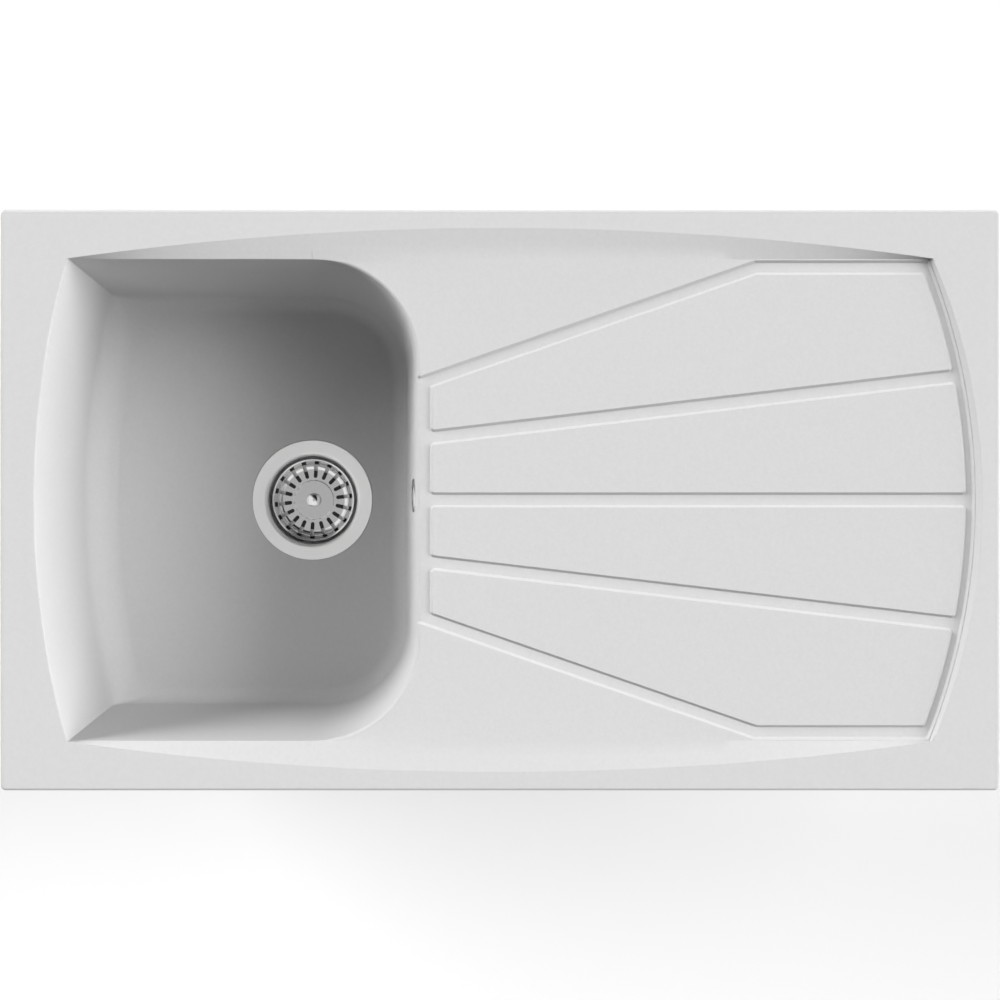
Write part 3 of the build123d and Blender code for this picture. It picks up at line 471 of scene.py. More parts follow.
class BodyForm:
    """Outlines of the moulded body's back half, worked out from its sizes."""

    def __init__(self, body, drainer):
        self.body = body
        self.drainer = drainer
        self.half_length = BODY_HIGH.x
        self.half_width = BODY_HIGH.y
        self.deck = BODY_HIGH.z
        self.recess = self.deck - body.recess_depth
        self.under = BODY_LOW.z
        self.floor = self.under + body.floor_thickness
        self.first_level = self.recess - FIRST_LEVEL
        self.tray = self.recess - body.tray_thickness
        self.left = body.deck_left - self.half_length
        self.right = self.half_length - body.deck_right
        self.back = self.half_width - body.deck_back
        self.corner_x = self.half_length - body.corner_margin_x
        self.corner_y = self.half_width - body.corner_margin_y
        self.bowl_right = self.left + body.bowl_length
        self.left_radius = arc_radius(self.corner_y, -self.corner_x - self.left)
        self.left_axis = self.left + self.left_radius
        self.low_corner = self.corner_x - body.right_wall_run / 2
        self.low_right = self.right - body.right_wall_run
        self.low_bow = arc_radius(self.corner_y, self.low_right - self.low_corner)
        self.low_axis = self.low_right - self.low_bow
        edge_turn = pi / 2 - body.right_draft
        self.edge_x = self.bowl_right + body.bowl_round * tan(edge_turn / 2)
        self.groove_profile = self.wall_profile()
        self.right_ys = self.right_widths()

    def left_point(self, share, height, grow=0.0, end=None):
        """A point on the left wall, at a share of the way from its middle to its back end."""
        reach = self.left_radius + grow - (self.deck - height) * tan(self.body.left_draft)
        turn = share * sin_turn(end or self.corner_y, reach)
        return Vector((self.left_axis - reach * cos(turn), reach * sin(turn), height))

    def level(self, height, grow=0.0, crease=0.0):
        """The bowl's outline at one height, from its left wall's middle to its right wall's."""
        body = self.body
        drop = self.recess - height
        over = height - (self.under if grow else self.floor)
        radius = body.floor_cove + grow
        side_in = drop * tan(body.side_draft) + cove(over, radius, body.side_draft)
        right_in = drop * tan(body.right_draft) + cove(over, radius, body.right_draft)
        left_in = (self.deck - height) * tan(body.left_draft)
        left_in += cove(over, body.left_cove + grow, body.left_draft)
        side = self.corner_y + grow - side_in
        right = self.bowl_right + grow - right_in
        turn = body.bowl_corner + grow - side_in
        reach = self.left_radius + grow - left_in
        axis = Vector((self.left_axis, 0, height))
        arm = sqrt((reach - crease) ** 2 - (side - crease) ** 2)
        middle = axis + Vector((-arm, side - crease, 0))
        start = atan2(middle.y, axis.x - middle.x)
        points = [axis + reach * Vector((-cos(a), sin(a), 0)) for a in spread(0, start, LEFT_STEPS)]
        turns = spread(start, pi / 2, CREASE_STEPS)[1:]
        points += [middle + crease * Vector((-cos(a), sin(a), 0)) for a in turns]
        points += [Vector((x, side, height)) for x in eased(middle.x, right - turn, SIDE_STEPS)[1:]]
        centre = Vector((right - turn, side - turn, height))
        turns = spread(0, pi / 2, TURN_STEPS)[1:]
        points += [centre + turn * Vector((sin(a), cos(a), 0)) for a in turns]
        points += [Vector((right, y, height)) for y in self.right_ys[1:]]
        return points

    def wall_profile(self):
        """Offsets and heights of a groove's rounded wall, from its upper edge to its foot."""
        drainer = self.drainer
        run = drainer.depth * tan(drainer.draft)
        level = Vector((1, 0, 0))
        foot = Vector((run, 0, -drainer.depth))
        points = bend(Vector(), level, foot, drainer.edge_round)
        points += bend(foot, foot, level, drainer.edge_round)
        return [(point.x, self.recess + point.z) for point in points]

    def drainer_line(self, inset):
        """Slope and start of the drainer's slanted side, moved in by an inset."""
        rise = self.corner_y - self.drainer.ledge - self.drainer.mouth / 2
        run = self.corner_x - self.drainer.shoulder - self.bowl_right
        start = self.drainer.mouth / 2 - inset * hypot(rise, run) / run
        return rise / run, start

    def right_widths(self):
        """Widths at which the bowl's right edge has a point, with the gutter's walls among them."""
        slope, start = self.drainer_line(0)
        top = start + (self.edge_x - self.bowl_right) * slope
        steps = [top - offset * hypot(1, slope) for offset, _ in self.groove_profile]
        straight = self.corner_y - self.body.bowl_corner
        before = spread(straight, steps[0], EDGE_STEPS)[:-1]
        return before + steps + spread(steps[-1], 0, MOUTH_STEPS)[1:]

    def edge_heights(self):
        """Height of the recess or gutter floor at each point of the bowl's right edge."""
        heights = [self.recess] * EDGE_STEPS + across(self.groove_profile, 1)
        return heights + [heights[-1]] * MOUTH_STEPS

    def bow_point(self, share, axis, radius, height):
        """A point on a bow at the right, at a share of the way from its middle to its back end."""
        turn = share * sin_turn(self.corner_y, radius)
        return Vector((axis + radius * cos(turn), radius * sin(turn), height))

    def bow_points(self, inset, top, bottom, steps):
        """Points along the right gutter's bow between two widths."""
        radius = self.low_bow - self.drainer.ledge - inset
        turns = spread(sin_turn(top, radius), sin_turn(bottom, radius), steps)
        axis = Vector((self.low_axis, 0, self.recess))
        return [axis + radius * Vector((cos(a), sin(a), 0)) for a in turns]

    def drainer_edge(self):
        """Upper edge of the gutter, from the bowl round to the middle of the right bow."""
        slope, start = self.drainer_line(0)
        top = self.corner_y - self.drainer.ledge
        first = Vector((self.edge_x, start + (self.edge_x - self.bowl_right) * slope, self.recess))
        shoulder = Vector((self.bowl_right + (top - start) / slope, top, self.recess))
        points = [first, shoulder, *self.bow_points(0, top, 0, BOW_STEPS)]
        return rounded(points, 2 * self.drainer.panel_corner, (1, 2))

    def panels(self):
        """Upper outlines of the back half's two panels."""
        drainer = self.drainer
        slope, start = self.drainer_line(drainer.gutter)
        left = self.bowl_right + drainer.mouth_gutter
        top = self.corner_y - drainer.ledge - drainer.gutter
        radius = self.low_bow - drainer.ledge - drainer.bow_gutter
        fan_x = self.low_axis + sqrt(radius**2 - drainer.fan_right**2)
        fan_slope = (drainer.fan_right - drainer.fan_left) / (fan_x - left)
        half_groove = drainer.groove / 2 * hypot(1, fan_slope)
        upper = drainer.fan_left + half_groove
        lower = drainer.fan_left - half_groove
        shoulder = Vector((self.bowl_right + (top - start) / slope, top, self.recess))
        corner = Vector((left, start + (left - self.bowl_right) * slope, self.recess))
        outlines = []
        for foot, foot_slope, head, head_slope, extra in (
            (upper, fan_slope, top, 0, [shoulder, corner]),
            (drainer.groove / 2, 0, lower, fan_slope, [Vector((left, lower, self.recess))]),
        ):
            low_y = self.line_on_bow(foot - left * foot_slope, foot_slope, radius)
            high_y = self.line_on_bow(head - left * head_slope, head_slope, radius)
            bow = self.bow_points(drainer.bow_gutter, low_y, high_y, PANEL_BOW_STEPS)
            points = [Vector((left, foot, self.recess)), *bow, *extra]
            corners = (0, 1, len(bow), *range(len(bow) + 1, len(points)))
            outlines.append(rounded(points, drainer.panel_corner, corners))
        return outlines

    def line_on_bow(self, start, slope, radius):
        """Width at which a straight line across the drainer meets the bow."""
        square = 1 + slope**2
        half = self.low_axis - start * slope
        x = (half + sqrt(half**2 - square * (self.low_axis**2 + start**2 - radius**2))) / square
        return start + slope * x

    def rim(self, inset, height):
        """The rim's outline, from the middle of its left end to that of its right end."""
        x = self.half_length - inset
        y = self.half_width - inset
        corner = self.body.rim_corner - inset
        points = [Vector((-x, 0, height))]
        for way, first in ((-1, -pi / 2), (1, 0)):
            centre = Vector((way * (x - corner), y - corner, height))
            turns = spread(first, first + pi / 2, RIM_CORNER_STEPS)
            points += [centre + corner * Vector((sin(a), cos(a), 0)) for a in turns]
        return points + [Vector((x, 0, height))]


def sin_turn(height, radius):
    """Angle at which a circle reaches a height."""
    return atan2(height, sqrt(radius**2 - height**2))


def left_wall(form, below):
    """Columns of the left wall, down to the bowl's first level."""
    columns = []
    for number, low in enumerate(below[: LEFT_STEPS + 1]):
        share = number / LEFT_STEPS
        top = form.left_point(share, form.deck)
        foot = form.left_point(share, form.recess)
        radius = form.body.mouth_round * fade(1 - share)
        rounding = bend(top, flat_way(foot - top), foot - top, radius)
        columns.append([*rounding, (top + foot) / 2, foot, low])
    return columns


def back_slope(form, edge, below):
    """Columns of the recess's back slope, and those of the bowl's back edge under its left part."""
    bow = arc_radius(form.corner_x, form.back - form.corner_y)
    start = edge[SIDE_FIRST].x
    turn_x = edge[SIDE_LAST].x
    feet = [point.x for point in edge[SIDE_FIRST : SIDE_LAST + 1]]
    feet += eased(turn_x, form.low_corner, BACK_STEPS)[1:]
    columns = []
    edge_columns = []
    for number, x in enumerate(feet):
        share = (x - start) / (form.low_corner - start)
        top_x = -form.corner_x + 2 * form.corner_x * share
        top = Vector((top_x, form.back - bow + sqrt(bow**2 - top_x**2), form.deck))
        foot = Vector((x, form.corner_y, form.recess))
        radius = form.body.mouth_round * fade(min(share, 1 - share), BACK_FADE)
        column = [*bend(top, Vector((0, -1, 0)), foot - top, radius), (top + foot) / 2, foot]
        if number <= SIDE_STEPS:
            low = below[SIDE_FIRST + number]
            along = (x - start) / (turn_x - start)
            radius = form.body.side_round * fade(min(along, 1 - along))
            rounding = bend(foot, foot - top, low - foot, radius)
            edge_columns.append([*rounding, low])
            column[-1] = rounding[0]
        columns.append(column)
    return columns, edge_columns


def right_wall(form):
    """Columns of the recess's right wall."""
    bow = arc_radius(form.corner_y, form.right - form.corner_x)
    columns = []
    for share in spread(1, 0, BOW_STEPS):
        top = form.bow_point(share, form.right - bow, bow, form.deck)
        foot = form.bow_point(share, form.low_axis, form.low_bow, form.recess)
        radius = form.body.mouth_round * fade(1 - share)
        rounding = bend(top, flat_way(foot - top), foot - top, radius)
        columns.append([*rounding, (top + foot) / 2, foot])
    return columns


def right_edge(form, edge, below):
    """Columns of the bowl's rounded right edge, which steps down at the gutter's mouth."""
    body = form.body
    columns = []
    for number in range(SIDE_LAST, TURN_LAST + 1):
        turn = pi / 2 * (number - SIDE_LAST) / TURN_STEPS
        radius = min(body.bowl_round, CORNER_ROUND * body.bowl_corner * (1 - cos(turn)))
        inward = Vector((-sin(turn), -cos(turn), 0))
        rounding = bend(edge[number], inward, below[number] - edge[number], radius)
        columns.append([rounding[0], *rounding, below[number]])
    wall = Vector((-tan(body.right_draft), 0, -1))
    for y, height, low in zip(form.right_ys[1:], form.edge_heights()[1:], below[TURN_LAST + 1 :]):
        point = Vector((form.bowl_right, y, form.recess)) + wall * (form.recess - height)
        rounding = bend(point, Vector((-1, 0, 0)), wall, body.bowl_round)
        columns.append([Vector((form.edge_x, y, height)), *rounding, low])
    return columns


def wall_heights(top, floor, radius, wall_steps, cove_steps):
    """Heights down a wall and a cove of that radius to a floor."""
    turns = spread(pi / 2, 0, cove_steps)[1:]
    return spread(top, floor + radius, wall_steps) + [floor + radius * (1 - cos(a)) for a in turns]


def bowl_levels(form):
    """Outlines of the bowl's walls and coves, from the first level to its floor."""
    body = form.body
    top = form.first_level
    levels = []
    for height in wall_heights(top, form.floor, body.left_cove, WALL_STEPS, COVE_STEPS):
        depth = (top - height) / (top - form.floor)
        crease = body.crease_round * depth**CREASE_POWER
        levels.append(form.level(height, crease=crease if crease > CREASE_LEAST else 0.0))
    return levels


def seat_walls(form):
    """Columns of the waste's seat in the bowl's floor and of its hole."""
    body = form.body
    columns = []
    for turn in spread(0, pi, SEAT_STEPS):
        way = Vector((cos(turn), sin(turn), 0))
        edge = drain_centre() + way * body.drain_seat + UP * form.floor
        hole = drain_centre() + way * body.drain_hole
        foot = edge - UP * body.seat_depth
        rounding = bend(edge, -way, -UP, body.seat_round)
        columns.append([*rounding, foot, hole + UP * foot.z, hole + UP * form.under])
    return columns


def rim_rows(form):
    """Outlines of the rim, from the deck round its outer side to the top of the seal's channel."""
    body = form.body
    corner = Vector((body.rim_round, 0, form.deck))
    section = bend(corner, Vector((1, 0, 0)), -UP, body.rim_round)
    rows = [form.rim(body.rim_round - point.x, point.z) for point in section]
    lip = body.lip_width
    return rows + [form.rim(0, 0), form.rim(lip, 0), form.rim(lip, body.seal_height)]


def body_mesh(body, drainer):
    """The moulded body as one closed mesh."""
    form = BodyForm(body, drainer)
    shell = Shell()

    # Walls of the recess and the bowl, and the bowl's floor
    edge = form.level(form.recess)
    below = form.level(form.first_level)
    left = left_wall(form, below)
    back, back_edge = back_slope(form, edge, below)
    right = right_wall(form)
    bowl_edge = right_edge(form, edge, below)
    levels = bowl_levels(form)
    seat = seat_walls(form)
    for columns in (left, back, back_edge, right, bowl_edge, zip(*levels), seat):
        shell.grid(columns)
    shell.fill([*levels[-1], *across(seat, 0)])

    # Rim and flat deck
    rim = rim_rows(form)
    shell.grid(zip(*rim))
    mouth = across(left, 0) + across(back[1:], 0) + across(right[1:], 0)
    shell.fill([*rim[0], *reversed(mouth)])

    # Recess floor, gutters and panels
    rows = drainer_rows(form)
    edge_line = across(bowl_edge, 0)
    gutter = TURN_STEPS + EDGE_STEPS
    foot_line = across(back[SIDE_STEPS:], -1) + across(right[1:], -1)
    shell.fill([*foot_line, *reversed(rows[0]), *reversed(edge_line[:gutter])])
    shell.grid(zip(*rows))
    panel_feet = []
    for outline in form.panels():
        steps = form.groove_profile
        loops = [at_height(shifted(outline, offset, True), height) for offset, height in steps]
        shell.grid(zip(*loops), closed=True)
        shell.fill(loops[0])
        panel_feet.append(loops[-1])
    shell.fill([*rows[-1], *reversed(edge_line[gutter + len(rows) - 1 :])], panel_feet)

    underside(form, shell, rim[-1], across(seat, -1))
    shell.mirrored()
    return shell.finished("sink_moulding")


def drainer_rows(form):
    """Rows of the gutter's outer wall, from its upper edge to its foot."""
    edge = form.drainer_edge()
    slope, _ = form.drainer_line(0)
    rows = []
    for offset, height in form.groove_profile:
        row = at_height(shifted(edge, offset, False), height)
        row[0] = Vector((edge[0].x, edge[0].y - offset * hypot(1, slope), height))
        row[-1] = Vector((edge[-1].x - offset, 0, height))
        rows.append(row)
    return rows


def underside(form, shell, channel, drain):
    """The body's underside: rim, tray and the outside of the bowl."""
    body = form.body
    top = body.seal_height
    margin_x = form.half_length - body.tray_margin
    margin_y = form.half_width - body.tray_margin
    outside = form.level(form.tray, body.wall, body.outside_corner)
    line_y = outside[SIDE_FIRST].y
    corner_x = form.corner_x + body.wall
    bow = arc_radius(corner_x, margin_y - line_y)
    right_bow = arc_radius(line_y, margin_x - corner_x)
    start = outside[SIDE_FIRST].x
    feet = [point.x for point in outside[SIDE_FIRST : SIDE_LAST + 1]]
    feet += spread(feet[-1], corner_x, BACK_STEPS)[1:]
    shares = spread(0, 1, LEFT_STEPS)
    left_top = [form.left_point(share, top, body.wall, line_y) for share in shares]
    shell.grid(zip(left_top, outside))
    corner = left_top[-1]
    shell.grid([(corner, point) for point in outside[LEFT_STEPS : SIDE_FIRST + 1]])
    back_columns = []
    for x in feet:
        share = (x - start) / (corner_x - start)
        top_x = corner.x + (corner_x - corner.x) * share
        head = Vector((top_x, margin_y - bow + sqrt(bow**2 - min(abs(top_x), corner_x) ** 2), top))
        if share == 0:
            head = corner
        back_columns.append((head, Vector((x, line_y, form.tray))))
    shell.grid(back_columns)
    right_columns = []
    for share in spread(1, 0, BOW_STEPS):
        turn = share * sin_turn(line_y, right_bow)
        x = margin_x - right_bow + right_bow * cos(turn)
        y = right_bow * sin(turn)
        right_columns.append((Vector((x, y, top)), Vector((x, y, form.tray))))
    right_columns[0] = back_columns[-1]
    shell.grid(right_columns)
    tops = left_top + across(back_columns[1:], 0) + across(right_columns[1:], 0)
    shell.fill([*channel, *reversed(tops)])
    foot_line = across(back_columns[SIDE_STEPS:], 1) + across(right_columns[1:], 1)
    shell.fill([*foot_line, *reversed(outside[SIDE_LAST:])])

    radius = body.left_cove + body.wall
    heights = wall_heights(form.tray, form.under, radius, OUTSIDE_WALL_STEPS, OUTSIDE_COVE_STEPS)
    levels = [form.level(height, body.wall, body.outside_corner) for height in heights]
    shell.grid(zip(*levels))
    shell.fill([*levels[-1], *drain])


class Value:
    """An output of a node that takes part in plain arithmetic."""

    def __init__(self, graph, socket):
        self.graph = graph
        self.socket = socket

    def __add__(self, other):
        return self.graph.maths("ADD", self, other)

    def __sub__(self, other):
        return self.graph.maths("SUBTRACT", self, other)

    def __rsub__(self, other):
        return self.graph.maths("SUBTRACT", other, self)

    def __mul__(self, other):
        return self.graph.maths("MULTIPLY", self, other)

    def __truediv__(self, other):
        return self.graph.maths("DIVIDE", self, other)

    def __rtruediv__(self, other):
        return self.graph.maths("DIVIDE", other, self)

    __radd__ = __add__
    __rmul__ = __mul__


class Graph:
    """A node tree whose nodes are made and linked by the names of their sockets."""

    def __init__(self, tree):
        self.tree = tree

    def add(self, kind, sockets=None, **settings):
        """A new node, with its settings and the values or links of its inputs."""
        node = self.tree.nodes.new(kind)
        for name, value in settings.items():
            setattr(node, name, value)
        self.feed(node, sockets or {})
        return node

    def node(self, kind, sockets=None, output=0, **settings):
        """One output of a new node."""
        return Value(self, self.add(kind, sockets, **settings).outputs[output])

    def feed(self, node, sockets):
        """Sets or links a node's inputs."""
        for name, value in sockets.items():
            if isinstance(value, Value):
                self.tree.links.new(value.socket, node.inputs[name])
            elif isinstance(value, list):
                for part in value:
                    self.tree.links.new(part.socket, node.inputs[name])
            else:
                node.inputs[name].default_value = value

    def maths(self, operation, *values):
        """The result of an operation on single values."""
        return self.node("ShaderNodeMath", dict(enumerate(values)), operation=operation)

    def vector(self, operation, *values, output=0):
        """The result of an operation on vectors."""
        sockets = dict(enumerate(values))
        return self.node("ShaderNodeVectorMath", sockets, output, operation=operation)

    def tint(self, low, high, factor):
        """A colour between two, by a factor."""
        low, high = (end if isinstance(end, Value) else (*end, 1) for end in (low, high))
        return self.node("ShaderNodeMix", {0: factor, 6: low, 7: high}, 2, data_type="RGBA")

    def stretch(self, value, low, high):
        """A value spread over 0 to 1 between two of its levels."""
        sockets = {"Value": value, "From Min": low, "From Max": high}
        return self.node("ShaderNodeMapRange", sockets, interpolation_type="SMOOTHSTEP")

    def seen(self):
        """1 for rays that show the surroundings, straight on, mirrored or through glass."""
        rays = ("Is Camera Ray", "Is Glossy Ray", "Is Transmission Ray")
        camera, glossy, through = (self.node("ShaderNodeLightPath", output=ray) for ray in rays)
        return self.maths("MINIMUM", camera + glossy + through, 1.0)


class Finish(Graph):
    """A procedural material that reads the piece's own object coordinates."""

    def __init__(self, name):
        self.material = bpy.data.materials.new(name)
        self.material.use_nodes = True
        super().__init__(self.material.node_tree)
        self.shader = self.tree.nodes["Principled BSDF"]
        self.place = self.node("ShaderNodeTexCoord", output="Object")

    def shaded(self, colour, dark, light, by):
        """A colour that goes from a darker to a lighter share of itself."""
        return self.tint(shade(colour, dark), shade(colour, light), by)

    def noise(self, scale, detail=2.0, roughness=0.5):
        """Even noise, with a scale in grains to the metre."""
        sockets = {"Vector": self.place, "Scale": scale, "Detail": detail, "Roughness": roughness}
        return self.node("ShaderNodeTexNoise", sockets)

    def bump(self, height, distance, strength):
        """A bump for the shader's normal."""
        sockets = {"Height": height, "Distance": distance, "Strength": strength}
        return self.node("ShaderNodeBump", sockets)

    def rings(self, centre, pitch):
        """Fine rings about an upright axis, as left by turning, in steps of a pitch."""
        flat = self.vector("MULTIPLY", self.vector("SUBTRACT", self.place, centre), (1, 1, 0))
        reach = self.vector("LENGTH", flat, output="Value")
        sockets = {"W": reach / pitch, "Scale": 1.0, "Detail": 3.0}
        return self.node("ShaderNodeTexNoise", sockets, noise_dimensions="1D")

    def finished(self, **sockets):
        """The material, with the shader's sockets set; a name's underscores stand for spaces."""
        names = {name: name.replace("_", " ").title() for name in sockets}
        names["specular_ior_level"] = "Specular IOR Level"
        self.feed(self.shader, {names[name]: value for name, value in sockets.items()})
        return self.material


def shade(colour, share):
    """A colour made lighter or darker."""
    return tuple(min(1.0, part * share) for part in colour)


def grey(level):
    """A grey of that level."""
    return (level,) * 3


def ranged(value, low, high):
    """A value of 0 to 1, spread between two levels."""
    return value * (high - low) + low


def drain_centre():
    """The waste's upright axis, at the worktop height."""
    return Vector(((FLANGE_LOW.x + FLANGE_HIGH.x) / 2, 0, 0))


def composite_finish(name, colours):
    """Stone composite: quartz grains in resin, moulded with a fine matte skin."""
    finish = Finish(name)
    grain = finish.noise(scale=1500, detail=3)
    mottle = finish.noise(scale=260)
    skin = finish.noise(scale=1100, detail=3, roughness=0.6)
    tone = finish.stretch(grain * 0.7 + mottle * 0.3, low=0.30, high=0.70)
    return finish.finished(
        base_color=finish.shaded(colours.composite, dark=0.965, light=1.035, by=tone),
        roughness=ranged(grain, low=0.50, high=0.66),
        normal=finish.bump(skin, distance=0.00012, strength=0.3),
        specular_ior_level=0.25,
    )


def satin_steel_finish(name, colours):
    """Satin stainless steel with fine rings from turning about the drain's axis."""
    finish = Finish(name)
    rings = finish.rings(drain_centre(), pitch=0.00024)
    haze = finish.noise(scale=120, detail=3)
    return finish.finished(
        base_color=finish.shaded(colours.steel, dark=1.17, light=1.27, by=rings),
        metallic=1.0,
        roughness=rings * 0.10 + ranged(haze, low=0.46, high=0.54),
        normal=finish.bump(rings, distance=0.00003, strength=0.4),
    )


def polished_steel_finish(name, colours):
    """Polished stainless steel with faint wiping marks."""
    finish = Finish(name)
    marks = finish.noise(scale=300, detail=4, roughness=0.6)
    return finish.finished(
        base_color=finish.shaded(colours.steel, dark=0.98, light=1.08, by=marks),
        metallic=1.0,
        roughness=ranged(marks, low=0.03, high=0.09),
    )


def zinc_finish(name, colours):
    """Zinc plate with its cloudy spangle."""
    finish = Finish(name)
    cloud = finish.noise(scale=420, detail=4, roughness=0.65)
    return finish.finished(
        base_color=finish.shaded(colours.zinc, dark=0.8, light=1.15, by=cloud),
        metallic=1.0,
        roughness=ranged(cloud, low=0.25, high=0.50),
        normal=finish.bump(finish.noise(scale=1500), distance=0.00004, strength=0.4),
    )


def brass_finish(name, colours):
    """Turned brass, slightly dulled."""
    finish = Finish(name)
    dull = finish.noise(scale=500, detail=3)
    return finish.finished(
        base_color=finish.shaded(colours.brass, dark=0.8, light=1.1, by=dull),
        metallic=1.0,
        roughness=ranged(dull, low=0.22, high=0.47),
    )


def rubber_finish(name, colours):
    """Black moulded rubber."""
    finish = Finish(name)
    bloom = finish.noise(scale=160, detail=4, roughness=0.6)
    return finish.finished(
        base_color=finish.shaded(colours.rubber, dark=0.7, light=1.6, by=bloom),
        roughness=ranged(bloom, low=0.55, high=0.75),
        normal=finish.bump(finish.noise(scale=2600), distance=0.00005, strength=0.4),
    )


def plastic_finish(name, colours):
    """White moulded polypropylene with a fine spark-eroded grain."""
    finish = Finish(name)
    grain = finish.noise(scale=1900)
    flow = finish.noise(scale=35)
    return finish.finished(
        base_color=finish.shaded(colours.plastic, dark=0.95, light=1.03, by=flow),
        roughness=ranged(grain, low=0.38, high=0.50),
        normal=finish.bump(grain, distance=0.00006, strength=0.4),
    )


def foam_finish(name, colours):
    """Closed-cell foam strip."""
    finish = Finish(name)
    cells = finish.node("ShaderNodeTexVoronoi", {"Vector": finish.place, "Scale": 1100.0})
    return finish.finished(
        base_color=finish.shaded(colours.foam, dark=0.6, light=1.6, by=cells),
        roughness=0.9,
        normal=finish.bump(cells, distance=0.0003, strength=0.7),
    )


# Finish of each of the record's material slots
FINISHES = {
    "composite": composite_finish,
    "satin_steel": satin_steel_finish,
    "polished_steel": polished_steel_finish,
    "zinc_steel": zinc_finish,
    "brass": brass_finish,
    "rubber": rubber_finish,
    "plastic": plastic_finish,
    "foam": foam_finish,
}


def finish_for(slot):
    """The material of a slot, made when it is first needed."""
    name = f"{slot} finish"
    return bpy.data.materials.get(name) or FINISHES[slot](name, bpy.context.scene.sink_finishes)


class Pattern(Graph):
    """A Geometry Nodes tree with named inputs that ends in one realized mesh with its material."""

    def __init__(self, name, **inputs):
        super().__init__(bpy.data.node_groups.new(name, "GeometryNodeTree"))
        self.sockets = {}
        for label, kind in {"Piece": "Geometry", **inputs, "Finish": "Material"}.items():
            self.sockets[label] = self.socket(label, "INPUT", kind).identifier
        self.socket("Piece", "OUTPUT", "Geometry")

    def socket(self, label, side, kind):
        """A new input or output of the whole tree."""
        interface = self.tree.interface
        return interface.new_socket(label, in_out=side, socket_type=f"NodeSocket{kind}")

    def given(self, label):
        """One of the tree's named inputs."""
        return self.node("NodeGroupInput", output=label)

    def shape(self, label):
        """The mesh of an object that is one of the inputs."""
        return self.node("GeometryNodeObjectInfo", {"Object": self.given(label)}, "Geometry")

    def ended(self, geometry):
        """The tree, finished with this geometry."""
        whole = self.node("GeometryNodeRealizeInstances", {"Geometry": geometry})
        sockets = {"Geometry": whole, "Material": self.given("Finish")}
        coated = self.node("GeometryNodeSetMaterial", sockets)
        self.add("NodeGroupOutput", {"Piece": coated})
        return self

    def made(self, piece, **values):
        """The piece after the tree has worked on it."""
        modifier = piece.modifiers.new(self.tree.name, "NODES")
        modifier.node_group = self.tree
        for label, value in values.items():
            modifier[self.sockets[label]] = value
        return applied(piece)


def ring_of_cuts():
    """Tree that cuts evenly spaced copies of a cutter out of a turned piece."""
    tree = Pattern(
        "ring of cuts", Cutter="Object", Count="Int", Circle="Float", Turn="Vector", Centre="Vector"
    )
    sockets = {"Vertices": tree.given("Count"), "Radius": tree.given("Circle")}
    points = tree.node("GeometryNodeMeshCircle", sockets)
    place = tree.node("GeometryNodeInputPosition")
    outward = tree.node("FunctionNodeAlignRotationToVector", {"Vector": place}, axis="X")
    sockets = {"Points": points, "Instance": tree.shape("Cutter"), "Rotation": outward}
    ring = tree.node("GeometryNodeInstanceOnPoints", sockets)
    centre, turn = tree.given("Centre"), tree.given("Turn")
    sockets = {"Geometry": ring, "Translation": centre, "Rotation": turn}
    placed = tree.node("GeometryNodeTransform", sockets)
    cutters = tree.node("GeometryNodeRealizeInstances", {"Geometry": placed})
    sockets = {"Mesh 1": tree.given("Piece"), "Mesh 2": cutters}
    cut = tree.node("GeometryNodeMeshBoolean", sockets, operation="DIFFERENCE", solver="EXACT")
    return tree.ended(cut)


def copies_at_points():
    """Tree that puts a copy of one object at each point of a mesh."""
    tree = Pattern("copies at points", Copy="Object")
    sockets = {"Points": tree.given("Piece"), "Instance": tree.shape("Copy")}
    return tree.ended(tree.node("GeometryNodeInstanceOnPoints", sockets))


def thread_ridge():
    """Tree that winds a thread's ridge round a piece."""
    tree = Pattern(
        "thread ridge", Turns="Float", Radius="Float", Depth="Float", Length="Float", Start="Vector"
    )
    sockets = {
        "Resolution": THREAD_STEPS,
        "Rotations": tree.given("Turns"),
        "Start Radius": tree.given("Radius"),
        "End Radius": tree.given("Radius"),
        "Height": tree.given("Length"),
    }
    line = tree.node("GeometryNodeCurveSpiral", sockets)
    sockets = {"Resolution": RIDGE_STEPS, "Radius": tree.given("Depth")}
    section = tree.node("GeometryNodeCurvePrimitiveCircle", sockets)
    sockets = {"Curve": line, "Profile Curve": section, "Fill Caps": True}
    ridge = tree.node("GeometryNodeCurveToMesh", sockets)
    sockets = {"Geometry": ridge, "Translation": tree.given("Start")}
    placed = tree.node("GeometryNodeTransform", sockets)
    sockets = {"Geometry": [tree.given("Piece"), placed]}
    return tree.ended(tree.node("GeometryNodeJoinGeometry", sockets))


def applied(piece):
    """The piece with its modifiers made part of its mesh."""
    shape = piece.evaluated_get(bpy.context.evaluated_depsgraph_get())
    mesh = bpy.data.meshes.new_from_object(shape)
    piece.modifiers.clear()
    piece.data = mesh
    return piece


def smoothed(piece, degrees):
    """The piece with smooth curves, flat flats and edges sharper than an angle kept."""
    piece.data.shade_smooth()
    piece.data.set_sharp_from_angle(angle=radians(degrees))
    modifier = piece.modifiers.new("flat faces lead", "WEIGHTED_NORMAL")
    modifier.keep_sharp = True
    return applied(piece)


def combined(piece, other, operation):
    """The piece with another shape added or cut away."""
    modifier = piece.modifiers.new(operation.lower(), "BOOLEAN")
    modifier.operation = operation
    modifier.solver = "EXACT"
    modifier.object = other
    applied(piece)
    bpy.data.objects.remove(other)
    return piece


def dress(piece, node):
    """Gives a finished piece the material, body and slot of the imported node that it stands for."""
    slot, body = slot_and_body(node)
    piece.data.materials.clear()
    piece.data.materials.append(finish_for(slot))
    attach(piece, body)
    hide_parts(node)


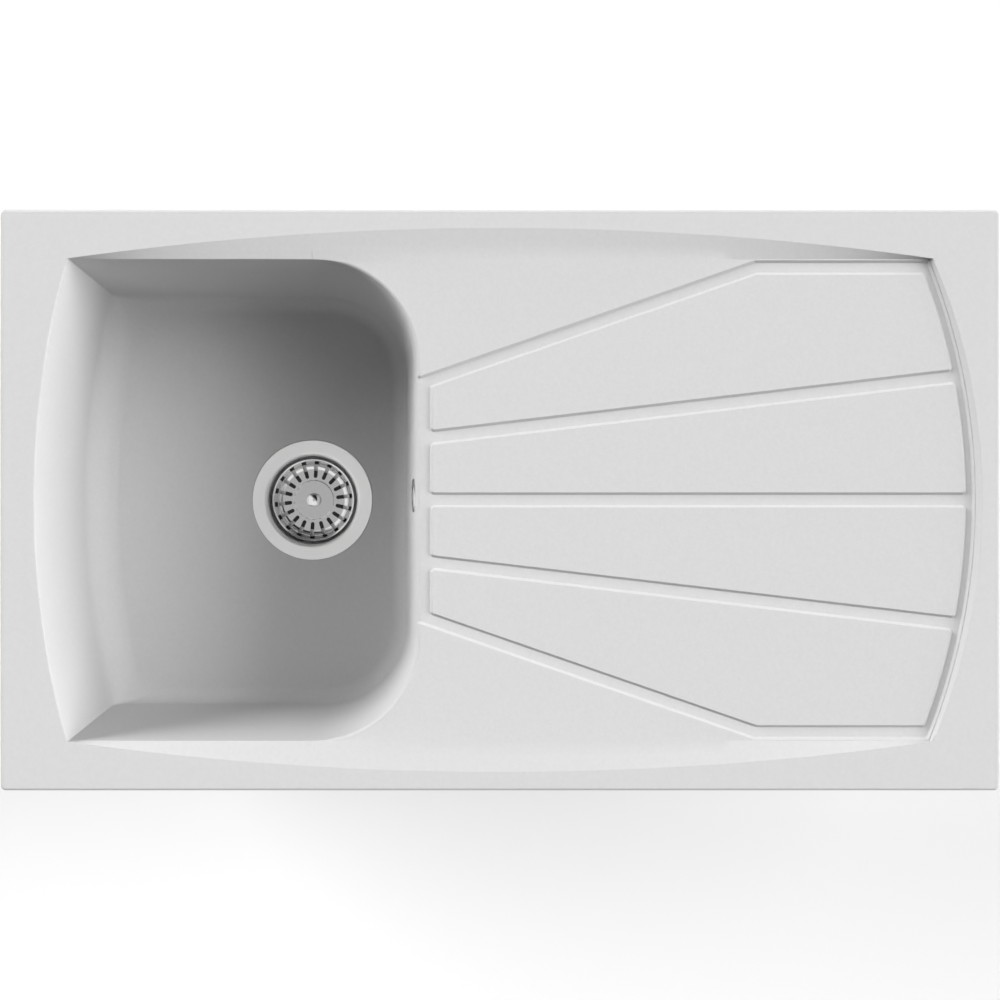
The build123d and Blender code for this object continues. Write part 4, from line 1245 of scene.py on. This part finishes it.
def copied(node, name):
    """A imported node's own shape, with its triangles joined."""
    mesh = bmesh.new()
    mesh.from_mesh(frame["nodes"][node].data)
    bmesh.ops.remove_doubles(mesh, verts=mesh.verts, dist=MERGE_GAP)
    return as_object(name, mesh)


def carry_over(*nodes):
    """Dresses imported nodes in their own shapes."""
    for node in nodes:
        dress(smoothed(copied(node, f"{node}_dressed"), PACKED_SHARP_ANGLE), node)


def slot_and_body(node):
    """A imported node's material slot and the body that it moves with."""
    record = frame["record"]
    slot = next(part["material_slot"] for part in record["subparts"] if part["node"] == node)
    body = next(name for name, nodes in record["behaviour"]["bodies"].items() if node in nodes)
    return slot, body


def clip_points():
    """Where the clips' screws stand, at the underside of the clips."""
    joints = frame["record"]["behaviour"]["joints"]
    return [Vector(joint["pos_m"]) for joint in joints if joint["type"] == "hinge"]


def ring_points(radius, steps, centre=Vector()):
    """Points of a level circle."""
    return [centre + radius * Vector((cos(a), sin(a), 0)) for a in spread(0, 2 * pi, steps)[:-1]]


def prism(name, outline, low, high):
    """A closed upright prism over a flat outline."""
    shell = Shell()
    shell.grid(zip(at_height(outline, low), at_height(outline, high)), closed=True)
    shell.fill(at_height(outline, low))
    shell.fill(at_height(outline, high))
    return shell.finished(name)


def rod(radius, low, high, centre=Vector()):
    """A round upright prism."""
    return prism("rod", ring_points(radius, BOSS_STEPS, centre), low, high)


def slot_outline(size, width):
    """Outline of a slot with round ends, along X."""
    half = width / 2
    reach = size / 2 - half
    turns = spread(0, pi, SLOT_END_STEPS)
    end = [Vector((reach + half * sin(a), -half * cos(a), 0)) for a in turns]
    return end + [-point for point in end]


def sheet(line, bends, thickness):
    """Closed section of a pressed sheet, whose upper face follows a line with bent corners."""
    upper = [line[0]]
    for before, corner, after, radius in zip(line, line[1:], line[2:], bends):
        upper += bend(corner, corner - before, after - corner, radius) if radius else [corner]
    upper.append(line[-1])
    return upper + shifted(upper, -thickness, False)[::-1]


def turned(name, section):
    """A closed mesh made by turning a section of radii and heights about the drain's axis."""
    shell = Shell()
    columns = []
    for a in spread(0, 2 * pi, TURNED_STEPS)[:-1]:
        way = Vector((cos(a), sin(a), 0))
        column = [drain_centre() + way * point.x + UP * point.y for point in section]
        columns.append([*column, column[0]])
    shell.grid(columns, closed=True)
    return shell.finished(name)


def profile(*points):
    """Radii and heights as flat points."""
    return [Vector((radius, height, 0)) for radius, height in points]


def flange_section(sizes):
    """Section of the flange and cup, from the flange's outer edge to the hub."""
    top = FLANGE_HIGH.z
    outer = (FLANGE_HIGH.x - FLANGE_LOW.x) / 2
    line = profile(
        (outer, top - sizes.cup_sheet),
        (outer, top),
        (sizes.cup_radius, top),
        (sizes.cup_radius, top - sizes.cup_depth),
        (sizes.seat_outer, top - sizes.seat_drop),
        (sizes.seat_inner, top - sizes.seat_drop),
        (sizes.seat_inner, top - sizes.hub_drop),
        (sizes.hub_bore, top - sizes.hub_drop),
    )
    bends = (sizes.flange_edge, sizes.flange_roll, *[sizes.cup_bend] * 4)
    return sheet(line, bends, sizes.cup_sheet)


def basket_section(sizes):
    """Section of the strainer basket, from its lip to the hole for the knob's stem."""
    rim = FLANGE_HIGH.z - sizes.basket_drop
    floor = rim - sizes.basket_depth
    line = profile(
        (sizes.basket_radius, rim - sizes.basket_lip),
        (sizes.basket_radius - sizes.basket_sheet, rim),
        (sizes.basket_throat, rim - sizes.basket_sheet),
        (sizes.basket_floor, floor),
        (sizes.emboss_radius + sizes.emboss, floor),
        (sizes.emboss_radius, floor + sizes.emboss),
        (sizes.stem_bore, floor + sizes.emboss),
    )
    half = sizes.basket_sheet / 2
    bends = (half, sizes.basket_bend, sizes.basket_corner, half, half)
    return sheet(line, bends, sizes.basket_sheet)


def clip_screw(sizes):
    """Screw with a ridged shank and a hexagon socket, whose origin is under the clip."""
    shell = Shell()
    root = sizes.shank - sizes.thread_depth
    ridges = []
    for number in range(int(sizes.reach / sizes.pitch) - 1):
        groove = sizes.reach - number * sizes.pitch
        ridges += [(root, groove), (sizes.shank, groove - sizes.pitch / 2)]
    under = -sizes.head_height
    outline = [(0, sizes.reach), *ridges, (sizes.shank, 0), (sizes.head, 0)]
    outline += [(sizes.head, under + sizes.head_bevel), (sizes.head - sizes.head_bevel, under)]
    ways = ring_points(1, SCREW_STEPS)
    columns = [[way * radius + UP * height for radius, height in outline] for way in ways]
    shell.grid(columns, closed=True)
    hexagon = ring_points(sizes.socket / cos(pi / HEXAGON_STEPS), HEXAGON_STEPS)
    mouth = at_height(hexagon, under)
    deep = at_height(hexagon, under + sizes.socket_depth)
    shell.fill(across(columns, -1), [mouth])
    shell.grid(zip(mouth, deep), closed=True)
    shell.fill(deep)
    return shell.finished("clip_screw")


def perforate(piece, node, cutter, count, circle, turn=0.0):
    """Cuts a ring of openings out of a turned piece and dresses it."""
    slot, _ = slot_and_body(node)
    ring_of_cuts().made(
        piece,
        Cutter=cutter,
        Count=count,
        Circle=circle,
        Turn=(0, 0, turn),
        Centre=drain_centre(),
        Finish=finish_for(slot),
    )
    bpy.data.objects.remove(cutter)
    dress(smoothed(piece, SHARP_ANGLE), node)


class SINK_OT_body(Operator):
    """Make the moulded body with its overflow hole and its bosses for the clips"""

    bl_idname = "sink.body"
    bl_label = "Moulded body"

    def execute(self, context):
        sizes = context.scene.sink_body_sizes
        piece = body_mesh(sizes, context.scene.sink_drainer_sizes)
        low = -sizes.boss_drop
        in_rim = 2 * sizes.seal_height
        bore_end = low + sizes.boss_bore_depth
        for point in clip_points():
            combined(piece, rod(sizes.boss_radius, low, in_rim, point), "UNION")
            combined(piece, rod(sizes.boss_bore, 2 * low, bore_end, point), "DIFFERENCE")
        hole = rod(sizes.overflow_hole, -2 * sizes.wall, 2 * sizes.wall)
        hole.location = (COVER_LOW + COVER_HIGH) / 2
        hole.rotation_euler = (0, pi / 2 + sizes.right_draft, 0)
        combined(piece, hole, "DIFFERENCE")
        dress(smoothed(piece, SHARP_ANGLE), "sink_body")
        return {"FINISHED"}


class SINK_OT_waste(Operator):
    """Make the flange with its rolled lip, the waste body with its thread, and their gaskets"""

    bl_idname = "sink.waste"
    bl_label = "Basket waste"

    def execute(self, context):
        sizes = context.scene.sink_waste_sizes
        flange = turned("flange_and_cup", flange_section(sizes))
        hub = FLANGE_HIGH.z - sizes.hub_drop
        cutter = rod(sizes.hub_hole, hub - sizes.seat_inner, hub + sizes.hub_hole)
        perforate(flange, "waste_flange", cutter, sizes.hub_holes, sizes.hub_circle)

        body = copied("waste_body", "waste_body_threaded")
        low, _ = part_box("waste_body")
        root = sizes.thread_crest - sizes.thread_depth
        for point in body.data.vertices:
            reach = hypot(point.co.x - drain_centre().x, point.co.y)
            on_thread = point.co.z < low.z + sizes.thread_length + MERGE_GAP
            if on_thread and reach > root:
                flat = drain_centre() + (flat_way(point.co) - drain_centre()) * root / reach
                point.co = (flat.x, flat.y, point.co.z)
        smoothed(body, PACKED_SHARP_ANGLE)
        margin = sizes.thread_depth
        thread_ridge().made(
            body,
            Turns=sizes.thread_turns,
            Radius=root,
            Depth=sizes.thread_depth,
            Length=sizes.thread_length - 2 * margin,
            Start=drain_centre() + UP * (low.z + margin),
            Finish=finish_for("plastic"),
        )
        dress(body, "waste_body")
        carry_over("flange_gasket", "lower_gasket", "waste_insert", "waste_screw")
        return {"FINISHED"}


class SINK_OT_basket(Operator):
    """Make the slotted basket, and dress its knob and stopper"""

    bl_idname = "sink.basket"
    bl_label = "Strainer basket"

    def execute(self, context):
        sizes = context.scene.sink_waste_sizes
        basket = turned("slotted_basket", basket_section(sizes))
        outline = slot_outline(sizes.slot_outer - sizes.slot_inner, sizes.slot_width)
        rim = FLANGE_HIGH.z - sizes.basket_drop
        cutter = prism("slot", outline, rim - 2 * sizes.basket_depth, rim + sizes.basket_depth)
        circle = (sizes.slot_inner + sizes.slot_outer) / 2
        perforate(basket, "strainer_basket", cutter, sizes.slots, circle, sizes.slot_turn)
        carry_over("basket_knob", "stopper_seal", "stopper_washer", "stopper_nut")
        return {"FINISHED"}


class SINK_OT_overflow(Operator):
    """Dress the overflow's cover, elbow, pipe and nuts"""

    bl_idname = "sink.overflow"
    bl_label = "Overflow"

    def execute(self, context):
        carry_over("overflow_cover", "overflow_screw", "overflow_gasket")
        carry_over("overflow_elbow", "overflow_pipe", "upper_pipe_nut", "lower_pipe_nut")
        carry_over("upper_pipe_seal", "lower_pipe_seal")
        return {"FINISHED"}


class SINK_OT_clips(Operator):
    """Dress the worktop clips and make their screws"""

    bl_idname = "sink.clips"
    bl_label = "Worktop clips"

    def execute(self, context):
        places = clip_points()
        carry_over(*[f"clip_hook_{number}" for number in range(1, len(places) + 1)], "clip_inserts")
        screw = smoothed(clip_screw(context.scene.sink_clip_sizes), PACKED_SHARP_ANGLE)
        data = bpy.data.meshes.new("clip_screws_threaded")
        data.from_pydata(places, [], [])
        screws = added("clip_screws_threaded", data)
        copies_at_points().made(screws, Copy=screw, Finish=finish_for("zinc_steel"))
        bpy.data.objects.remove(screw)
        dress(screws, "clip_screws")
        return {"FINISHED"}


class SINK_OT_seal(Operator):
    """Dress the foam seal under the rim"""

    bl_idname = "sink.seal"
    bl_label = "Rim seal"

    def execute(self, context):
        carry_over("rim_seal")
        return {"FINISHED"}


def floor_finish(settings):
    """Pale floor that looks white to the camera, keeps its shadows and isn't seen from below."""
    finish = Finish("studio floor")
    seen = finish.seen()
    behind = finish.node("ShaderNodeNewGeometry", output="Backfacing")
    dimmed = shade(settings.floor_colour, 1 - settings.floor_glow)
    return finish.finished(
        base_color=finish.tint(settings.floor_colour, dimmed, seen),
        emission_color=finish.tint(BLACK, grey(settings.floor_glow), seen),
        emission_strength=1.0,
        roughness=0.9,
        specular_ior_level=0.0,
        alpha=1 - behind,
    )


def studio_world(settings):
    """World that is white to the camera, shows metal a room and gives no light of its own."""
    world = bpy.data.worlds.new("studio")
    world.use_nodes = True
    graph = Graph(world.node_tree)
    way = graph.node("ShaderNodeTexCoord", output="Generated")
    height = graph.node("ShaderNodeSeparateXYZ", {"Vector": way}, "Z")
    side = graph.vector("DOT_PRODUCT", way, BRIGHT_SIDE, output="Value")
    walls = graph.tint(grey(settings.wall), WHITE, graph.stretch(side, *BRIGHT_EDGE))
    room = graph.tint(walls, grey(settings.ceiling), graph.stretch(height, *CEILING_EDGE))
    straight = graph.node("ShaderNodeLightPath", output="Is Camera Ray")
    around = graph.tint(BLACK, graph.tint(room, WHITE, straight), graph.seen())
    graph.feed(world.node_tree.nodes["Background"], {"Color": around, "Strength": 1.0})
    return world


class SINK_OT_stage(Operator):
    """Set the floor, the lamps and the camera"""

    bl_idname = "sink.stage"
    bl_label = "Studio"

    def execute(self, context):
        scene = context.scene
        settings = scene.sink_stage
        scene.view_settings.view_transform = "Standard"

        scene.world = studio_world(settings)
        camera = added("camera", bpy.data.cameras.new("camera"))
        camera.data.lens = settings.lens
        camera.location = (0, 0, BODY_HIGH.z + settings.camera_height)
        scene.camera = camera

        for name, (turn, height, share) in LAMPS.items():
            lamp = added(name, bpy.data.lights.new(name, "SUN"))
            lamp.data.energy = pi * share * settings.light
            lamp.data.angle = settings.softness
            lamp.visible_glossy = False
            turn, height = radians(turn), radians(height)
            way = Vector((cos(turn) * cos(height), sin(turn) * cos(height), sin(height)))
            lamp.rotation_euler = way.to_track_quat("Z", "Y").to_euler()

        half = settings.floor_size / 2
        sides = ((-1, -1), (1, -1), (1, 1), (-1, 1))
        corners = [(x * half, y * half, cad_box[0].z) for x, y in sides]
        data = bpy.data.meshes.new("floor")
        data.from_pydata(corners, [], [(0, 1, 2, 3)])
        data.materials.append(floor_finish(settings))
        added("floor", data)
        return {"FINISHED"}


OPERATORS = (
    SINK_OT_body,
    SINK_OT_waste,
    SINK_OT_basket,
    SINK_OT_overflow,
    SINK_OT_clips,
    SINK_OT_seal,
    SINK_OT_stage,
)
SETTINGS = {
    "sink_body_sizes": BodySizes,
    "sink_drainer_sizes": DrainerSizes,
    "sink_waste_sizes": WasteSizes,
    "sink_clip_sizes": ClipSizes,
    "sink_finishes": Finishes,
    "sink_stage": StageSettings,
}


class SINK_PT_pieces(Panel):
    """Buttons that make the sink's pieces and its studio"""

    bl_idname = "SINK_PT_pieces"
    bl_label = "Kitchen sink"
    bl_space_type = "VIEW_3D"
    bl_region_type = "UI"
    bl_category = "Sink"

    def draw(self, context):
        for operator in OPERATORS:
            self.layout.operator(operator.bl_idname)


CLASSES = (*SETTINGS.values(), *OPERATORS, SINK_PT_pieces)


def register():
    for item in CLASSES:
        bpy.utils.register_class(item)
    for name, group in SETTINGS.items():
        setattr(bpy.types.Scene, name, PointerProperty(type=group))


def unregister():
    for name in SETTINGS:
        delattr(bpy.types.Scene, name)
    for item in reversed(CLASSES):
        bpy.utils.unregister_class(item)


def main():
    register()
    bpy.ops.sink.body()
    bpy.ops.sink.waste()
    bpy.ops.sink.basket()
    bpy.ops.sink.overflow()
    bpy.ops.sink.clips()
    bpy.ops.sink.seal()
    bpy.ops.sink.stage()


if __name__ == "__main__":
    main()
